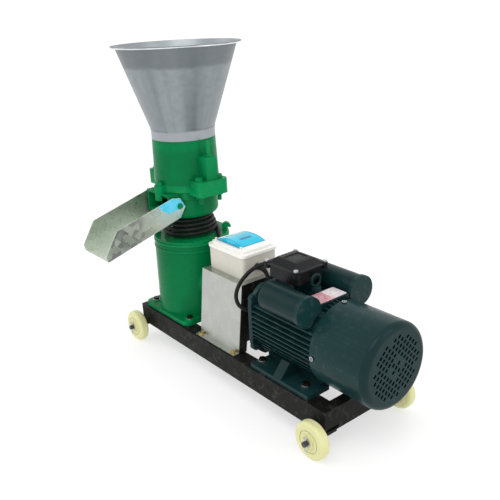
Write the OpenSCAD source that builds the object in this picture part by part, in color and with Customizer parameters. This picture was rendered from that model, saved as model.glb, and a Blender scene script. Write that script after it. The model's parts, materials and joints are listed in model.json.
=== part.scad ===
// Feed pellet mill: a flat-die head on a bevel-gear column, driven through a
// guarded coupling by an electric motor, all on a wheeled channel frame.
// Millimetres, +Z up, +X from the mill towards the motor, -Y is the chute side.

/* [Base frame] */
// Length of the base frame
frame_l = 850; // [846:2:870]
// Width over the two side rails
frame_w = 264; // [262:1:270]
// Height of the rail channels
rail_h = 63; // [55:1:75]
// Width of the rail flanges
rail_flange = 46; // [45:1:50]
// Wall of the rail and cross channels
rail_wall = 5; // [4:0.5:6]
// Flange width of the cross channels
cross_flange = 30; // [22:1:34]
// Open slot over the rail's lower flange at the ends
end_slot = 7; // [4:1:10]
// Middle cross channel, back from the frame's middle
cross_back = 70; // [60:5:100]

/* [Wheels] */
// Diameter of the wheels
wheel_d = 100; // [90:1:110]
// Width of the wheel tread
wheel_w = 28; // [24:1:32]
// Width of the wheel hub
wheel_hub_w = 34; // [33:1:38]
// Diameter of the axle rods
axle_d = 14; // [12:1:16]
// Gap between rail and tread
wheel_gap = 12; // [10:1:16]
// Axle inset from the frame's mill end
axle_inset_mill = 4; // [2:1:30]
// Axle inset from the frame's motor end
axle_inset_motor = 17; // [12:1:40]
// Thickness of the axle washers
washer_t = 2.5; // [2:0.5:3]

/* [Gear column] */
// Mill axis, back from the frame's middle
mill_back = 294; // [290:1:296]
// Length of the base flange
foot_x = 240; // [232:1:244]
// Base flange's inset from the frame's sides
foot_inset = 8; // [4:1:10]
// Thickness of the base flange
foot_t = 13; // [10:1:18]
// Radius of the column at its foot
column_r_low = 119; // [115:1:120]
// Radius of the column at its top
column_r_high = 116; // [112:0.5:117]
// Height of the column up to its cover
column_h = 243; // [238:1:250]
// Wall of the column
column_wall = 9; // [8:0.5:10]
// Height of the drive axis over the rails
drive_h = 112; // [111:1:114]
// Radius of the input neck
neck_in_r = 58; // [50:1:62]
// Reach of the input neck from the mill axis
neck_in_reach = 164; // [160:1:168]

/* [Neck and discharge bowl] */
// Thickness of the column cover
cover_t = 8; // [7:1:10]
// Radius of the neck that the cord is wound on
neck_r = 57; // [52:1:57]
// Height of the neck
neck_h = 65; // [64:1:70]
// Radius of the discharge bowl
bowl_r = 90; // [88:1:90]
// Height of the bowl below its flange
bowl_h = 62; // [60:1:66]
// Wall of the bowl
bowl_wall = 8; // [6:1:9]
// Thickness of the bowl's flange
bowl_flange_t = 22; // [20:1:26]
// Width of the discharge mouth
mouth_w = 110; // [90:2:112]
// Height of the discharge mouth
mouth_h = 52; // [44:1:53]
// Reach of the discharge spout
spout_reach = 108; // [106:1:110]

/* [Press head and hopper] */
// Radius of the head at its flange
head_r_low = 98; // [97:0.5:99]
// Radius of the head at its top
head_r_high = 93; // [92:0.5:94]
// Height of the head
head_h = 178; // [172:1:190]
// Thickness of the head's flange
head_flange_t = 22; // [18:1:24]
// Wall of the head
head_wall = 9; // [7:0.5:10]
// Height of the hopper's collar
collar_h = 27; // [20:1:32]
// Height of the hopper's cone
cone_h = 238; // [180:1:300]
// Radius of the cone at the top
cone_r = 173; // [140:1:200]
// Width of the hopper's flat rim
rim_w = 13; // [6:1:20]
// Sheet of the hopper
hopper_t = 1.6; // [1:0.1:2.5]

/* [Die and rollers] */
// Radius of the flat die
die_r = 75; // [72:0.5:76]
// Thickness of the flat die
die_t = 24; // [22:1:28]
// Diameter of the die's pellet holes
die_hole_d = 6; // [3:0.5:7]
// Radius of the press rollers
roller_r = 40; // [38:0.5:41]
// Width of the press rollers
roller_w = 28; // [24:1:29]
// Diameter of the roller shaft
roller_shaft_d = 20; // [16:1:21]
// Travel of the roller adjustment
roller_lift = 8; // [4:0.5:8]
// Diameter of the adjusting screws
adjust_d = 10; // [8:1:10]

/* [Drive train] */
// Diameter of the upright main shaft
main_d = 40; // [36:1:42]
// Diameter of the main shaft through the die
main_top_d = 24; // [20:1:26]
// Diameter of the drive shafts
drive_d = 28; // [24:1:30]
// Teeth of the crown gear
crown_teeth = 36; // [36:12:36]
// Teeth of the pinion
pinion_teeth = 12; // [12:4:12]
// Pitch radius of the crown gear
crown_r = 88; // [86:1:90]
// Outer radius of the coupling
coupling_r = 45; // [40:1:46]
// Length of each coupling half
coupling_l = 38; // [34:1:40]

/* [Coupling guard] */
// Length of the guard
guard_l = 184; // [182:1:186]
// Height of the guard
guard_h = 200; // [198:1:204]
// Half width of the guard at the top
guard_half_top = 84; // [80:1:86]
// Guard's inset from the frame's sides at the rails
guard_inset = 25; // [24:1:27]
// Sheet of the guard
guard_t = 2; // [1.5:0.5:3]
// Leg width of the black end frame
portal_leg = 25; // [20:1:27]

/* [Switch box] */
// Length of the switch box
box_l = 160; // [156:1:164]
// Width of the switch box
box_w = 120; // [116:1:126]
// Height of the box base
box_base_h = 64; // [62:1:68]
// Height of the box lid
box_lid_h = 16; // [15:1:18]
// Wall of the box
box_wall = 2.5; // [2:0.1:3]
// Rise of the window's curve
window_rise = 10; // [9:1:14]

/* [Motor] */
// Motor front face, ahead of the frame's middle
motor_front = 110; // [106:1:112]
// Length of the finned body
body_l = 230; // [226:1:232]
// Radius over the fins
body_r = 108; // [106:0.5:108]
// Spacing of the cooling fins
fin_pitch = 13; // [11:0.5:14]
// Thickness of the cooling fins
fin_t = 3; // [2:0.5:5]
// Length of the fan cover
fan_cover_l = 174; // [168:1:184]
// Radius of the fan cover
fan_cover_r = 110; // [110:0.5:111]
// Radius of the fan cover's flat end
fan_end_r = 93; // [86:1:96]
// Radius of the capacitor housings
cap_r = 38; // [36:0.5:39]
// Length of the capacitor housings
cap_l = 150; // [130:1:160]
// Spacing of the capacitor housings
cap_spacing = 184; // [184:1:188]
// Length of the terminal box lid
term_l = 126; // [118:1:128]
// Width of the terminal box lid
term_w = 116; // [106:1:116]
// Front foot bolts' distance from the feet's ends
foot_land_front = 11; // [11:1:14]
// Rear foot bolts' distance from the feet's ends
foot_land_rear = 39; // [34:1:42]

/* [Chute] */
// Length of the chute
chute_l = 267; // [220:1:300]
// Inner width of the chute
chute_w = 141; // [141:0.5:146]
// Depth of the chute's sides
chute_h = 69; // [68:0.5:71]
// Sheet of the chute
chute_t = 1.5; // [1:0.1:2]
// Slope of the chute at rest
chute_slope = 16.5; // [15:0.5:17]

/* [Cords] */
// Diameter of the mains cord
cord_d = 11.5; // [10:0.5:11.5]
// Diameter of the motor lead
motor_cord_d = 11; // [9:0.5:11]
// Turns of the mains cord round the neck
cord_turns = 4; // [2:1:4]

/* [Hidden] */
$fn = 64;

// Colours
green = [0.05, 0.42, 0.27];
black = [0.12, 0.12, 0.13];
galvanised = [0.74, 0.76, 0.75];
aluminium = [0.72, 0.74, 0.76];
steel = [0.6, 0.61, 0.63];
dark_steel = [0.25, 0.25, 0.27];
teal = [0.12, 0.26, 0.27];
nylon = [0.88, 0.88, 0.6];
ivory = [0.9, 0.89, 0.84];
cyan = [0.25, 0.75, 0.9];
zinc_yellow = [0.8, 0.72, 0.35];

// Shared clearances
overrun = 1;
running = 0.05;
gap = 0.3;
hole_play = 0.5;
shaft_play = 1;
sector_step = 45;

// Levels
rail_top = wheel_d / 2 + axle_d / 2 + rail_h;
rail_low = rail_top - rail_h;
axis_z = rail_top + drive_h;
column_top = rail_top + column_h;
neck_top = column_top + cover_t + neck_h;
parting = neck_top + bowl_h + bowl_flange_t;
head_top = parting + head_h;

// Frame, axle and wheel places
mill_x = -mill_back;
rail_in = frame_w / 2 - rail_flange;
web_in = frame_w / 2 - rail_wall;
axle_xs = [axle_inset_mill - frame_l / 2, frame_l / 2 - axle_inset_motor];
wheel_y = frame_w / 2 + wheel_gap + wheel_w / 2;
axle_tip = 10;
axle_end_y = wheel_y + wheel_hub_w / 2 + gap + washer_t + axle_tip;
saddle_x = 22;
saddle_drop = 4;
washer_r = 11;
pin_d = 3;
pin_back = 6;
pin_leg = 17;
pin_spread = 14;
pin_eye_r = 4;
tread_round = 9;
groove_r = 29;
groove_w = 3;
groove_deep = 2;
hub_r = 18;

// Screws: shares of the thread's diameter
washer_share = 0.2;
washer_r_share = 1.1;
head_share = 0.65;
flats_share = 0.95;
bolt_d = 10;
bolt_tip = 5;
guard_bolt_d = 8;
head_bolt_d = 12;
chute_bolt_d = 8;
screw_d = 6;
screw_l = 10;
screw_head_h = 4;

// Column details
foot_round = 22;
foot_bolt_x = 98;
foot_bolt_in = 37;
foot_bolt_y = frame_w / 2 - foot_bolt_in;
foot_y = frame_w - 2 * foot_inset;
bead_t = 6;
bead_gap = 20;
bead_out = 2;
floor_t = 12;
housing_bolts = [for (x = [-1, 1], y = [-1, 1]) [x * foot_bolt_x, y * foot_bolt_y]];

// Bearings
main_bearing_r = 40;
main_bearing_t = 18;
main_bearing_sink = 6;
drive_bearing_r = 31;
drive_bearing_t = 16;
motor_bearing_t = 16;
bearing_lip = 4;
bearing_groove = 1;
bearing_in = 18;
bearing_pitch = 40;
pinion_bearing_xs = [neck_in_reach - bearing_in - bearing_pitch, neck_in_reach - bearing_in];

// Neck cover details
cover_spigot = 14;
hook_angles = [52, 232];
hook_t = 14;
hook_in = 97;
hook_reach = 124;
hook_h = 26;
hook_shares = [
  [0, 0], [0.48, 0], [0.54, 0.3], [0.66, 0.42], [0.82, 0.34], [1, 0.3], [1, 0.52], [0.78, 0.86],
  [0.42, 1], [0.1, 0.82], [0, 0.6]
];

// Bowl and spout details
bowl_round = 18;
bowl_floor = 8;
spout_wall = 7;
spout_rise = 17;
spout_in = 40;
spout_roof = bowl_h + bowl_flange_t - spout_rise - spout_wall - mouth_h;
die_gap = 1;
pivot_y = -79;
pivot_rise = 48;
pivot_z = neck_top + pivot_rise;
pivot_boss_r = 12;
pivot_r = 8;
pivot_end_x = chute_w / 2 + chute_t + gap;
pivot_bolt_l = 14;

// Head details
ear_angles = [-84, 96];
ear_at = 107;
ear_r = 15;
shelf_l = 290;
shelf_w = 102;
shelf_h = 38;
shelf_under = 6;
shelf_bolt_x = 117;
shelf_bolt_y = 34;
shelf_bolts = [
  for (x = [-shelf_bolt_x, shelf_bolt_x], y = [-shelf_bolt_y, shelf_bolt_y])
    [x, y, shelf_h]
];
head_bolt_places = concat(
  [for (angle = ear_angles) [ear_at * cos(angle), ear_at * sin(angle), head_flange_t]],
  shelf_bolts
);
seat_deep = 1;
head_taper = (head_r_high + hopper_t - head_r_low) / (head_h - collar_h - head_flange_t);
flange_out = 1;
seam_turn = 45;
blind_reach = head_flange_t + spout_roof;
bolt_under = bowl_flange_t + 8;
head_seat_r = 14;
boss_reach = 136;
boss_w = 37;
boss_h = 77;
boss_low = 28;
hopper_lap = 6;

// Die, roller and scraper details
die_rise = 4;
die_rows = [40, 48, 56];
die_row_holes = [20, 24, 28];
roller_inner_face = 34;
roller_hub_r = 16;
roller_grooves = 20;
roller_groove_deep = 3;
roller_groove_w = 5;
roller_z = parting + die_rise + gap + roller_r;
adjust_at = 122;
adjust_top = head_top - collar_h;
slider_l = 14;
slider_w = 24;
slider_h = 24;
pocket_play = 0.6;
pocket_in = 47;
pocket_h = slider_h + roller_lift + 2 * pocket_play;
cap_nut_r = 17;
cap_nut_h = 17;
scraper_rise = 8;
scraper_h = 16;
scraper_t = 6;
scraper_hub_r = 30;
scraper_reach = 78;

// Gear details
crown_band = 22;
tooth_up = 4;
tooth_down = 5;
crown_tooth_share = 0.35;
pinion_tooth_share = 0.36;
crown_body_t = 14;
crown_hub_r = 34;
crown_hub_h = 18;
cone_ratio = pinion_teeth / crown_teeth;
pinion_in = crown_r - crown_band / 2;
pinion_out = crown_r + crown_band / 2;
main_low = rail_top + floor_t - main_bearing_sink;

// Coupling details
coupling_x = -2;
coupling_disc = 24;
coupling_eye = 20;
jaws = 3;
jaw_l = 14;
jaw_angle = 36;
spider_play = 3;
spider_bore_r = 10;
shaft_setback = 3;
hub_share = 0.62;

// Guard details
guard_gap = 10;
guard_x = mill_x + neck_in_reach + guard_gap;
guard_end_x = guard_x + guard_l;
guard_foot = 19;
guard_half_low = frame_w / 2 - guard_inset;
guard_bolt_inset = 15;
guard_bolt_xs = [guard_x + guard_bolt_inset, guard_end_x - guard_bolt_inset];
guard_bolt_y = guard_half_low + guard_foot / 2;
portal_t = 3;
portal_top = 30;

// Switch box details
box_back = 20;
box_x = guard_end_x - box_l / 2 - box_back;
box_z = rail_top + guard_h;
box_round = 10;
lip_t = 8;
lip_out = 3;
bezel_in = 12;
window_x = -11;
window_y = 6;
window_l = 105;
window_w = 90;
window_t = 1.8;
window_lip = 5;
window_curve_r = (window_w * window_w / 4 + window_rise * window_rise) / (2 * window_rise);
hinge_r = 2.5;
hinge_pin_r = 1.2;
hinge_lug = 6;
grip_l = 18;
grip_w = 20;
grip_y = 28;
grip_low = 2;
rail_din_w = 35;
rail_din_h = 7;
breaker_w = 54;
breaker_d = 80;
breaker_h = 48;
breaker_nose = 20;
breaker_nose_w = 45;
toggle_r = 6;
toggle_w = 16;
toggle_l = 13;
toggle_t = 5;
toggle_slot = 12;
toggle_sink = 5;
toggle_tilt = -20;
toggle_z = box_z + box_wall + rail_din_h + breaker_h + breaker_nose - toggle_sink;

// Motor details
shield_t = 14;
shield_half = 102;
shield_r = 118;
shield_lug_r = 13;
shield_lug_at = 112;
shield_lug_angles = [38, 142, 218, 322];
shield_boss_r = 40;
shield_boss_l = 8;
shield_spigot = 8;
shield_ring_out = 82;
shield_ring_in = 52;
shield_rim = 1.5;
rear_t = 14;
body_x = motor_front + shield_t;
body_wall = 7;
core_r = 94;
fins_up = 4;
fins_down = 6;
fins_top = 4;
foot_setback = 18;
foot_past = 6;
foot_x_start = body_x + foot_setback;
foot_len = body_l - foot_setback + foot_past;
foot_leg_l = foot_len - rear_t;
foot_leg_t = 12;
foot_out = frame_w / 2 - rail_wall;
foot_in = 52;
motor_foot_t = 13;
motor_bolts = [
  for (x = [foot_land_front, foot_len - foot_land_rear], y = [-1, 1])
    [foot_x_start + x, y * foot_bolt_y]
];
foot_bolt_places = concat([for (p = housing_bolts) [mill_x + p.x, p.y]], motor_bolts);
foot_rib_share = 0.48;
rib_t = 30;
rib_top = 50;
fan_lap = 4;
fan_sheet = 1.5;
fan_end_x = body_x + body_l + fan_cover_l - fan_lap;
cover_screw_angles = [0, 90, 180];
slot_w = 7;
slot_l = 9.5;
slot_pitch_u = 14;
slot_pitch_v = 13.5;
slot_rows = [4, 7, 9, 8, 11, 11, 11, 11, 8, 9, 8, 4];
slot_blank = 21;
slot_turn = -45;
fan_gap = 8;
fan_x = body_x + body_l + rear_t + fan_gap;
fan_r = 84;
fan_blades = 6;
fan_blade_t = 3;
fan_l = 30;
fan_hub_r = 24;
stator_in = 59;
stator_back = 40;
stator_l = body_l - 2 * stator_back;
rotor_gap = 0.5;
winding_l = 24;
winding_r = 12;
cap_z = 104;
cap_at = 60;
cap_round = 9;
cap_wall = 2.5;
cap_lid_l = 12;
term_at = 66;
term_x = body_x + term_at;
term_in = 9;
term_base_z = 362;
term_base_h = 35;
term_lid_h = 18;
term_lip = 4;
hip_out = 7;
hip_in = 19;
flat_l = term_l - 2 * hip_out - 2 * hip_in;
flat_w = term_w - 2 * hip_out - 2 * hip_in;
term_round = 12;
term_wall = 4;
term_neck_l = 76;
term_neck_w = 64;
term_lug_r = 8;
term_lug_h = 12;
term_lug_up = 6;
term_lug_in = 8;
term_recess = 2;
recess_l = 40;
recess_w = 51;
lid_screw_places = [
  for (x = [-1, 1], y = [-1, 1])
    [x * (term_l / 2 - term_lug_in), y * (term_w / 2 - term_lug_in)]
];
eye_at = 139;
eye_x = body_x + eye_at;
eye_pad_r = 14;
eye_pad_top = 118;
eye_r = 15;
eye_wire = 4;
eye_collar = 6;
eye_collar_r = 13;
eye_thread = 16;
plate_at = 178;
plate_l = 50;
plate_w = 92;
plate_t = 1;
plate_round = 4;
pad_margin = 4;
pad_top = 110;

// Places of the fan cover's slots: rows of slots, then a cross in the middle
slot_places = concat(
  [
    for (row = [0:len(slot_rows) - 1], i = [0:slot_rows[row] - 1])
      let (
        u = (i - (slot_rows[row] - 1) / 2) * slot_pitch_u,
        v = (row - (len(slot_rows) - 1) / 2) * slot_pitch_v
      )
        if (abs(v) > slot_blank || abs(u) > slot_blank) [u, v]
  ],
  [for (p = [[0, 0], [-1, 0], [1, 0], [0, -1], [0, 1]]) [p.x * slot_pitch_u, p.y * slot_pitch_v]]
);

// Chute outline: shares of its length and of its depth, from the pivot
chute_drop_share = 0.49;
chute_floor_start = 22;
chute_side_shares = [
  [-0.064, -0.145], [-0.034, 0.32], [0.056, 0.49], [0.785, 0.51], [0.996, -0.22], [1, -0.49],
  [0.04, -0.49]
];

// Cord and gland details
gland_r = 8;
gland_tip_r = 7;
gland_nut_r = 10;
gland_nut_h = 4;
gland_hex_h = 6;
gland_cap_h = 10;
term_gland_y = -24;
term_gland_z = 382;
lead_gland_y = -12.5;
box_gland_y = 0;
box_gland_z = 31;
cord_seed_share = 0.1;
cord_steps = 3;
cord_sides = 8;
coil_sides = 6;
coil_loop_rings = 24;
coil_start = 60;
coil_sweep = 360 * cord_turns + 26;
coil_r_low = 83;
coil_r_high = 64;
coil_z_low = 377.3;
coil_z_high = 429.7;
lead_points = [
  [-112, 0, 351], [-134, 0, 351], [-142, 1, 352], [-153, 6, 358.5], [-164, 13, 367.5],
  [-175, 20.5, 375.4], [-186, 28.5, 378.4], [-204, 41, 378]
];
tail_points = [
  [-322, 66, 430], [-346, 68, 428], [-372, 71, 423], [-394, 74, 410], [-406, 76, 388], [-411, 77, 362],
  [-412, 77, 344], [-412, 77, 332]
];
motor_lead_points = [
  [142, -24, 382], [119, -24, 382], [109, -27, 381.5], [90, -42, 374], [76, -66, 358], [67, -92, 330],
  [67, -107, 300], [76, -106, 274], [87, -86, 257], [95, -58, 256], [99, -34, 272], [100, -20, 298],
  [95.5, -14, 321], [86, -12.5, 338], [74, -12.5, 348.5], [62, -12.5, 351], [38, -12.5, 351]
];
plug_r = 19;
plug_l = 34;
plug_neck_l = 16;
plug_neck_share = 0.8;
plug_wall = 1.5;
plug_pin_x = 9.5;
plug_pin_l = 19;
plug_pin_r = 2.4;

// The object stands with the middle of its box over the origin
box_low_x = min(axle_xs[0] - wheel_d / 2, mill_x - cone_r - rim_w);
chute_tip_y = pivot_y - max([
  for (p = chute_side_shares)
    p.x * chute_l * cos(chute_slope) + p.y * chute_h * sin(chute_slope)
]);
origin_x = (box_low_x + fan_end_x) / 2;
origin_y = (chute_tip_y + axle_end_y) / 2;

// Moves a piece from the machine's axes to the part's own origin
module placed() {
  translate([-origin_x, -origin_y, 0])
    children();
}

// Placed on the mill's axis at a height
module mill_at(z) {
  placed()
    translate([mill_x, 0, z])
      children();
}

// Raised by a height
module lift(z) {
  translate([0, 0, z])
    children();
}

// Cutter for a hole of depth h up from z = 0, running past both faces
module bore(h, r) {
  lift(-overrun)
    cylinder(h = h + 2 * overrun, r = r);
}

// A rod along +X from its start
module rod_x(r, l) {
  rotate([0, 90, 0])
    cylinder(h = l, r = r);
}

// A rod along +Y from its start
module rod_y(r, l) {
  rotate([-90, 0, 0])
    cylinder(h = l, r = r);
}

// An upright ring
module ring(r_out, r_in, h) {
  difference() {
    cylinder(h = h, r = r_out);
    bore(h, r_in);
  }
}

// A ring with its axis along X
module ring_x(r_out, r_in, l) {
  rotate([0, 90, 0])
    ring(r_out, r_in, l);
}

// A block centred in X and Y, standing on z = 0
module block(l, w, h) {
  translate([-l / 2, -w / 2, 0])
    cube([l, w, h]);
}

// A block with rounded upright edges
module soft_block(l, w, h, r) {
  linear_extrude(h)
    soft_rect(l, w, r);
}

module soft_rect(l, w, r) {
  union() {
    square([l - 2 * r, w], center = true);
    square([l, w - 2 * r], center = true);
    for (x = [-1, 1], y = [-1, 1])
      translate([x * (l / 2 - r), y * (w / 2 - r)])
        circle(r);
  }
}

// A wedge of a full circle, centred on +X
module sector(r, angle, h) {
  steps = ceil(angle / sector_step);
  linear_extrude(h)
    polygon(concat([[0, 0]], [
      for (i = [0:steps])
        let (a = angle * (i / steps - 1 / 2))
          [r * cos(a), r * sin(a)] / cos(angle / steps / 2)
    ]));
}

// Hex screw with its washer, seated at z = 0, shank down
module hex_screw(d, reach) {
  lift(-reach)
    cylinder(h = reach, r = d / 2);
  cylinder(h = washer_share * d, r = washer_r_share * d);
  lift(washer_share * d)
    cylinder(h = head_share * d, r = flats_share * d, $fn = 6);
}

module side_rails() {
  color(black)
    placed()
      for (side = [0, 1])
        mirror([0, side, 0])
          side_rail();
}

module side_rail() {
  difference() {
    union() {
      translate([-frame_l / 2, rail_in, rail_low])
        cube([frame_l, rail_flange, rail_h]);
      for (x = axle_xs)
        translate([x - saddle_x / 2, rail_in, rail_low - axle_d / 2 - saddle_drop])
          cube([saddle_x, rail_flange, axle_d / 2 + saddle_drop]);
    }
    translate([-frame_l / 2 - overrun, rail_in - overrun, rail_low + rail_wall])
      cube([frame_l + 2 * overrun, rail_flange - rail_wall + overrun, rail_h - 2 * rail_wall]);
    for (x = axle_xs)
      translate([x, rail_in - overrun, wheel_d / 2])
        rod_y(axle_d / 2, rail_flange + 2 * overrun);
    for (p = foot_bolt_places)
      if (p.y > 0)
        translate([p.x, p.y, rail_top - rail_wall])
          bore(rail_wall, bolt_d / 2 + hole_play);
    for (x = guard_bolt_xs)
      translate([x, guard_bolt_y, rail_top - rail_wall])
        bore(rail_wall, guard_bolt_d / 2 + hole_play);
  }
}

module cross_members() {
  color(black)
    placed() {
      translate([frame_l / 2, 0, 0])
        cross_channel(end_slot);
      translate([-frame_l / 2, 0, 0])
        mirror([1, 0, 0])
          cross_channel(end_slot);
      translate([-cross_back, 0, 0])
        cross_channel(0);
    }
}

// Channel across the frame with its web at x = 0 and its flanges towards -X
module cross_channel(slot) {
  difference() {
    translate([-cross_flange, -web_in, rail_low])
      cube([cross_flange, 2 * web_in, rail_h]);
    translate([-cross_flange - overrun, -web_in - overrun, rail_low + rail_wall])
      cube([cross_flange - rail_wall + overrun, 2 * (web_in + overrun), rail_h - 2 * rail_wall]);
    for (side = [-1, 1])
      translate([-cross_flange - overrun, side > 0 ? rail_in : -web_in - overrun, 0]) {
        lift(rail_top - rail_wall)
          cube([cross_flange + 2 * overrun, web_in - rail_in + overrun, rail_wall + overrun]);
        lift(rail_low - overrun)
          cube([cross_flange + 2 * overrun, web_in - rail_in + overrun, rail_wall + slot + overrun]);
      }
  }
}

module wheel_axles() {
  color(dark_steel)
    placed()
      for (x = axle_xs)
        translate([x, -axle_end_y, wheel_d / 2])
          difference() {
            rod_y(axle_d / 2, 2 * axle_end_y);
            for (y = [pin_back, 2 * axle_end_y - pin_back])
              translate([0, y, -axle_d])
                cylinder(h = 2 * axle_d, r = pin_d / 2);
          }
}

module wheel() {
  color(nylon)
    rotate([-90, 0, 0])
      rotate_extrude()
        difference() {
          union() {
            translate([axle_d / 2 + running, -wheel_hub_w / 2])
              square([hub_r - axle_d / 2 - running, wheel_hub_w]);
            translate([axle_d / 2 + running, -wheel_w / 2])
              square([wheel_d / 2 - tread_round - axle_d / 2 - running, wheel_w]);
            translate([wheel_d / 2 - 2 * tread_round, tread_round - wheel_w / 2])
              square([2 * tread_round, wheel_w - 2 * tread_round]);
            for (y = [tread_round - wheel_w / 2, wheel_w / 2 - tread_round])
              translate([wheel_d / 2 - tread_round, y])
                circle(tread_round);
          }
          for (y = [-wheel_w / 2, wheel_w / 2])
            translate([groove_r, y])
              square([groove_w, 2 * groove_deep], center = true);
        }
}

module wheel_at(end, side) {
  placed()
    translate([axle_xs[end], side * wheel_y, wheel_d / 2])
      wheel();
}

module axle_retainers() {
  color(steel)
    placed()
      for (x = axle_xs, side = [0, 1])
        translate([x, 0, wheel_d / 2])
          mirror([0, side, 0])
            retainer();
}

// Inner spacer, outer washer and split pin of the wheel on the +Y side
module retainer() {
  translate([0, frame_w / 2, 0])
    rotate([-90, 0, 0])
      ring(washer_r, axle_d / 2, wheel_y - wheel_hub_w / 2 - gap - frame_w / 2);
  translate([0, wheel_y + wheel_hub_w / 2 + gap, 0])
    rotate([-90, 0, 0])
      ring(washer_r, axle_d / 2, washer_t);
  translate([0, axle_end_y - pin_back, 0]) {
    lift(-axle_d / 2 - pin_d)
      cylinder(h = axle_d + pin_d + pin_eye_r, r = pin_d / 2);
    lift(axle_d / 2 + 2 * pin_eye_r)
      rotate([90, 0, 0])
        rotate_extrude()
          translate([pin_eye_r, 0])
            circle(pin_d / 2);
    for (side = [-1, 1])
      lift(-axle_d / 2 - pin_d / 2)
        rotate([0, 180 + side * pin_spread, 0])
          cylinder(h = pin_leg, r = pin_d / 3);
  }
}

module gear_housing() {
  color(green)
    mill_at(rail_top)
      housing_body();
}

module housing_body() {
  difference() {
    union() {
      soft_block(foot_x, foot_y, foot_t, foot_round);
      cylinder(h = column_h, r1 = column_r_low, r2 = column_r_high);
      for (z = [column_h - bead_gap - bead_t, column_h - bead_t])
        lift(z)
          cylinder(h = bead_t, r = column_r_high + bead_out);
      lift(drive_h)
        rod_x(neck_in_r, neck_in_reach);
    }
    lift(floor_t)
      cylinder(h = column_h, r = column_r_high - column_wall);
    lift(floor_t - main_bearing_sink)
      cylinder(h = floor_t, r = main_bearing_r);
    lift(drive_h)
      rod_x(drive_bearing_r, neck_in_reach + overrun);
    lift(drive_h)
      rod_x(pinion_out * cone_ratio + tooth_up + shaft_play, pinion_out + shaft_play);
    for (p = housing_bolts)
      translate([p.x, p.y, 0])
        bore(foot_t, bolt_d / 2 + hole_play);
  }
}

module foot_bolts() {
  color(steel)
    placed() {
      for (p = housing_bolts)
        translate([mill_x + p.x, p.y, rail_top + foot_t])
          hex_screw(bolt_d, foot_t + rail_wall + bolt_tip);
      for (p = motor_bolts)
        translate([p.x, p.y, rail_top + motor_foot_t])
          hex_screw(bolt_d, motor_foot_t + rail_wall + bolt_tip);
    }
}

module neck_cover() {
  color(green)
    mill_at(column_top)
      difference() {
        union() {
          cylinder(h = cover_t, r = column_r_high);
          lift(-cover_spigot)
            cylinder(h = cover_spigot, r = column_r_high - column_wall);
          cylinder(h = cover_t + neck_h, r = neck_r);
          for (angle = hook_angles)
            rotate(angle)
              hook();
        }
        lift(-cover_spigot)
          bore(cover_spigot + cover_t + neck_h, main_d / 2 + shaft_play);
        lift(-cover_spigot - overrun)
          cylinder(h = main_bearing_t + overrun, r = main_bearing_r);
      }
}

// Cord hook: an upright plate with a horn over a notch
module hook() {
  translate([0, hook_t / 2, cover_t - overrun])
    rotate([90, 0, 0])
      linear_extrude(hook_t)
        polygon([
          for (p = hook_shares)
            [hook_in + p.x * (hook_reach - hook_in), p.y * hook_h]
        ]);
}

module discharge_bowl() {
  color(green)
    mill_at(neck_top)
      difference() {
        union() {
          bowl_outside();
          lift(bowl_h)
            eared_flange(bowl_flange_t, bowl_r + flange_out);
          lift(bowl_h + bowl_flange_t - shelf_under)
            soft_block(shelf_l, shelf_w, shelf_under, ear_r);
          spout_block(mouth_w + 2 * spout_wall, mouth_h + 2 * spout_wall, spout_rise);
          for (side = [0, 1])
            translate([0, pivot_y, pivot_z - neck_top])
              mirror([side, 0, 0])
                translate([mouth_w / 2, 0, 0]) {
                  rod_x(pivot_boss_r, chute_w / 2 - gap - mouth_w / 2);
                  rod_x(pivot_r, chute_w / 2 + chute_t + gap - mouth_w / 2);
                }
        }
        lift(bowl_floor)
          cylinder(h = bowl_h - bowl_floor, r = bowl_r - bowl_wall);
        lift(bowl_floor)
          cylinder(h = bowl_h + bowl_flange_t, r = die_r + die_gap);
        bore(bowl_floor, main_d / 2 + shaft_play);
        translate([0, -overrun, 0])
          spout_block(mouth_w, mouth_h, spout_rise + spout_wall);
        for (p = head_bolt_places)
          translate([p.x, p.y, bowl_h])
            bore(bowl_flange_t, head_bolt_d / 2);
        for (side = [-1, 1])
          translate([side * (pivot_end_x + overrun), pivot_y, pivot_z - neck_top])
            rotate([0, -side * 90, 0])
              cylinder(h = pivot_bolt_l + overrun, r = chute_bolt_d / 2);
      }
}

module bowl_outside() {
  rotate_extrude()
    union() {
      square([bowl_r - bowl_round, bowl_h]);
      translate([0, bowl_round])
        square([bowl_r, bowl_h - bowl_round]);
      translate([bowl_r - bowl_round, bowl_round])
        intersection() {
          circle(bowl_round);
          square(4 * bowl_round, center = true);
        }
    }
}

// The spout from the mill axis out to its mouth on the -Y side
module spout_block(w, h, z) {
  translate([-w / 2, -spout_reach, z])
    cube([w, spout_reach - spout_in, h]);
}

module eared_flange(h, r) {
  linear_extrude(h)
    union() {
      circle(r);
      for (angle = ear_angles)
        rotate(angle) {
          translate([ear_at, 0])
            circle(ear_r);
          translate([0, -ear_r])
            square([ear_at, 2 * ear_r]);
        }
    }
}

module press_head() {
  color(green)
    mill_at(parting)
      difference() {
        union() {
          eared_flange(head_flange_t, head_r_low + flange_out);
          soft_block(shelf_l, shelf_w, shelf_h, ear_r);
          rotate(seam_turn)
            rotate_extrude()
              polygon([
                [0, seat_deep],
                [head_r_low - head_taper * (head_flange_t - seat_deep), seat_deep],
                [head_r_high + hopper_t, head_h - collar_h],
                [head_r_high, head_h - collar_h],
                [head_r_high, head_h],
                [0, head_h]
              ]);
          lift(boss_low)
            block(2 * boss_reach, boss_w, boss_h);
        }
        bore(head_h, head_r_high - head_wall);
        for (side = [0, 1])
          mirror([side, 0, 0])
            roller_pocket();
        for (p = head_bolt_places)
          translate([p.x, p.y, 0]) {
            bore(p.z, head_bolt_d / 2 + hole_play);
            lift(p.z - seat_deep)
              cylinder(h = head_bolt_d, r = head_seat_r);
          }
      }
}

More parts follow.
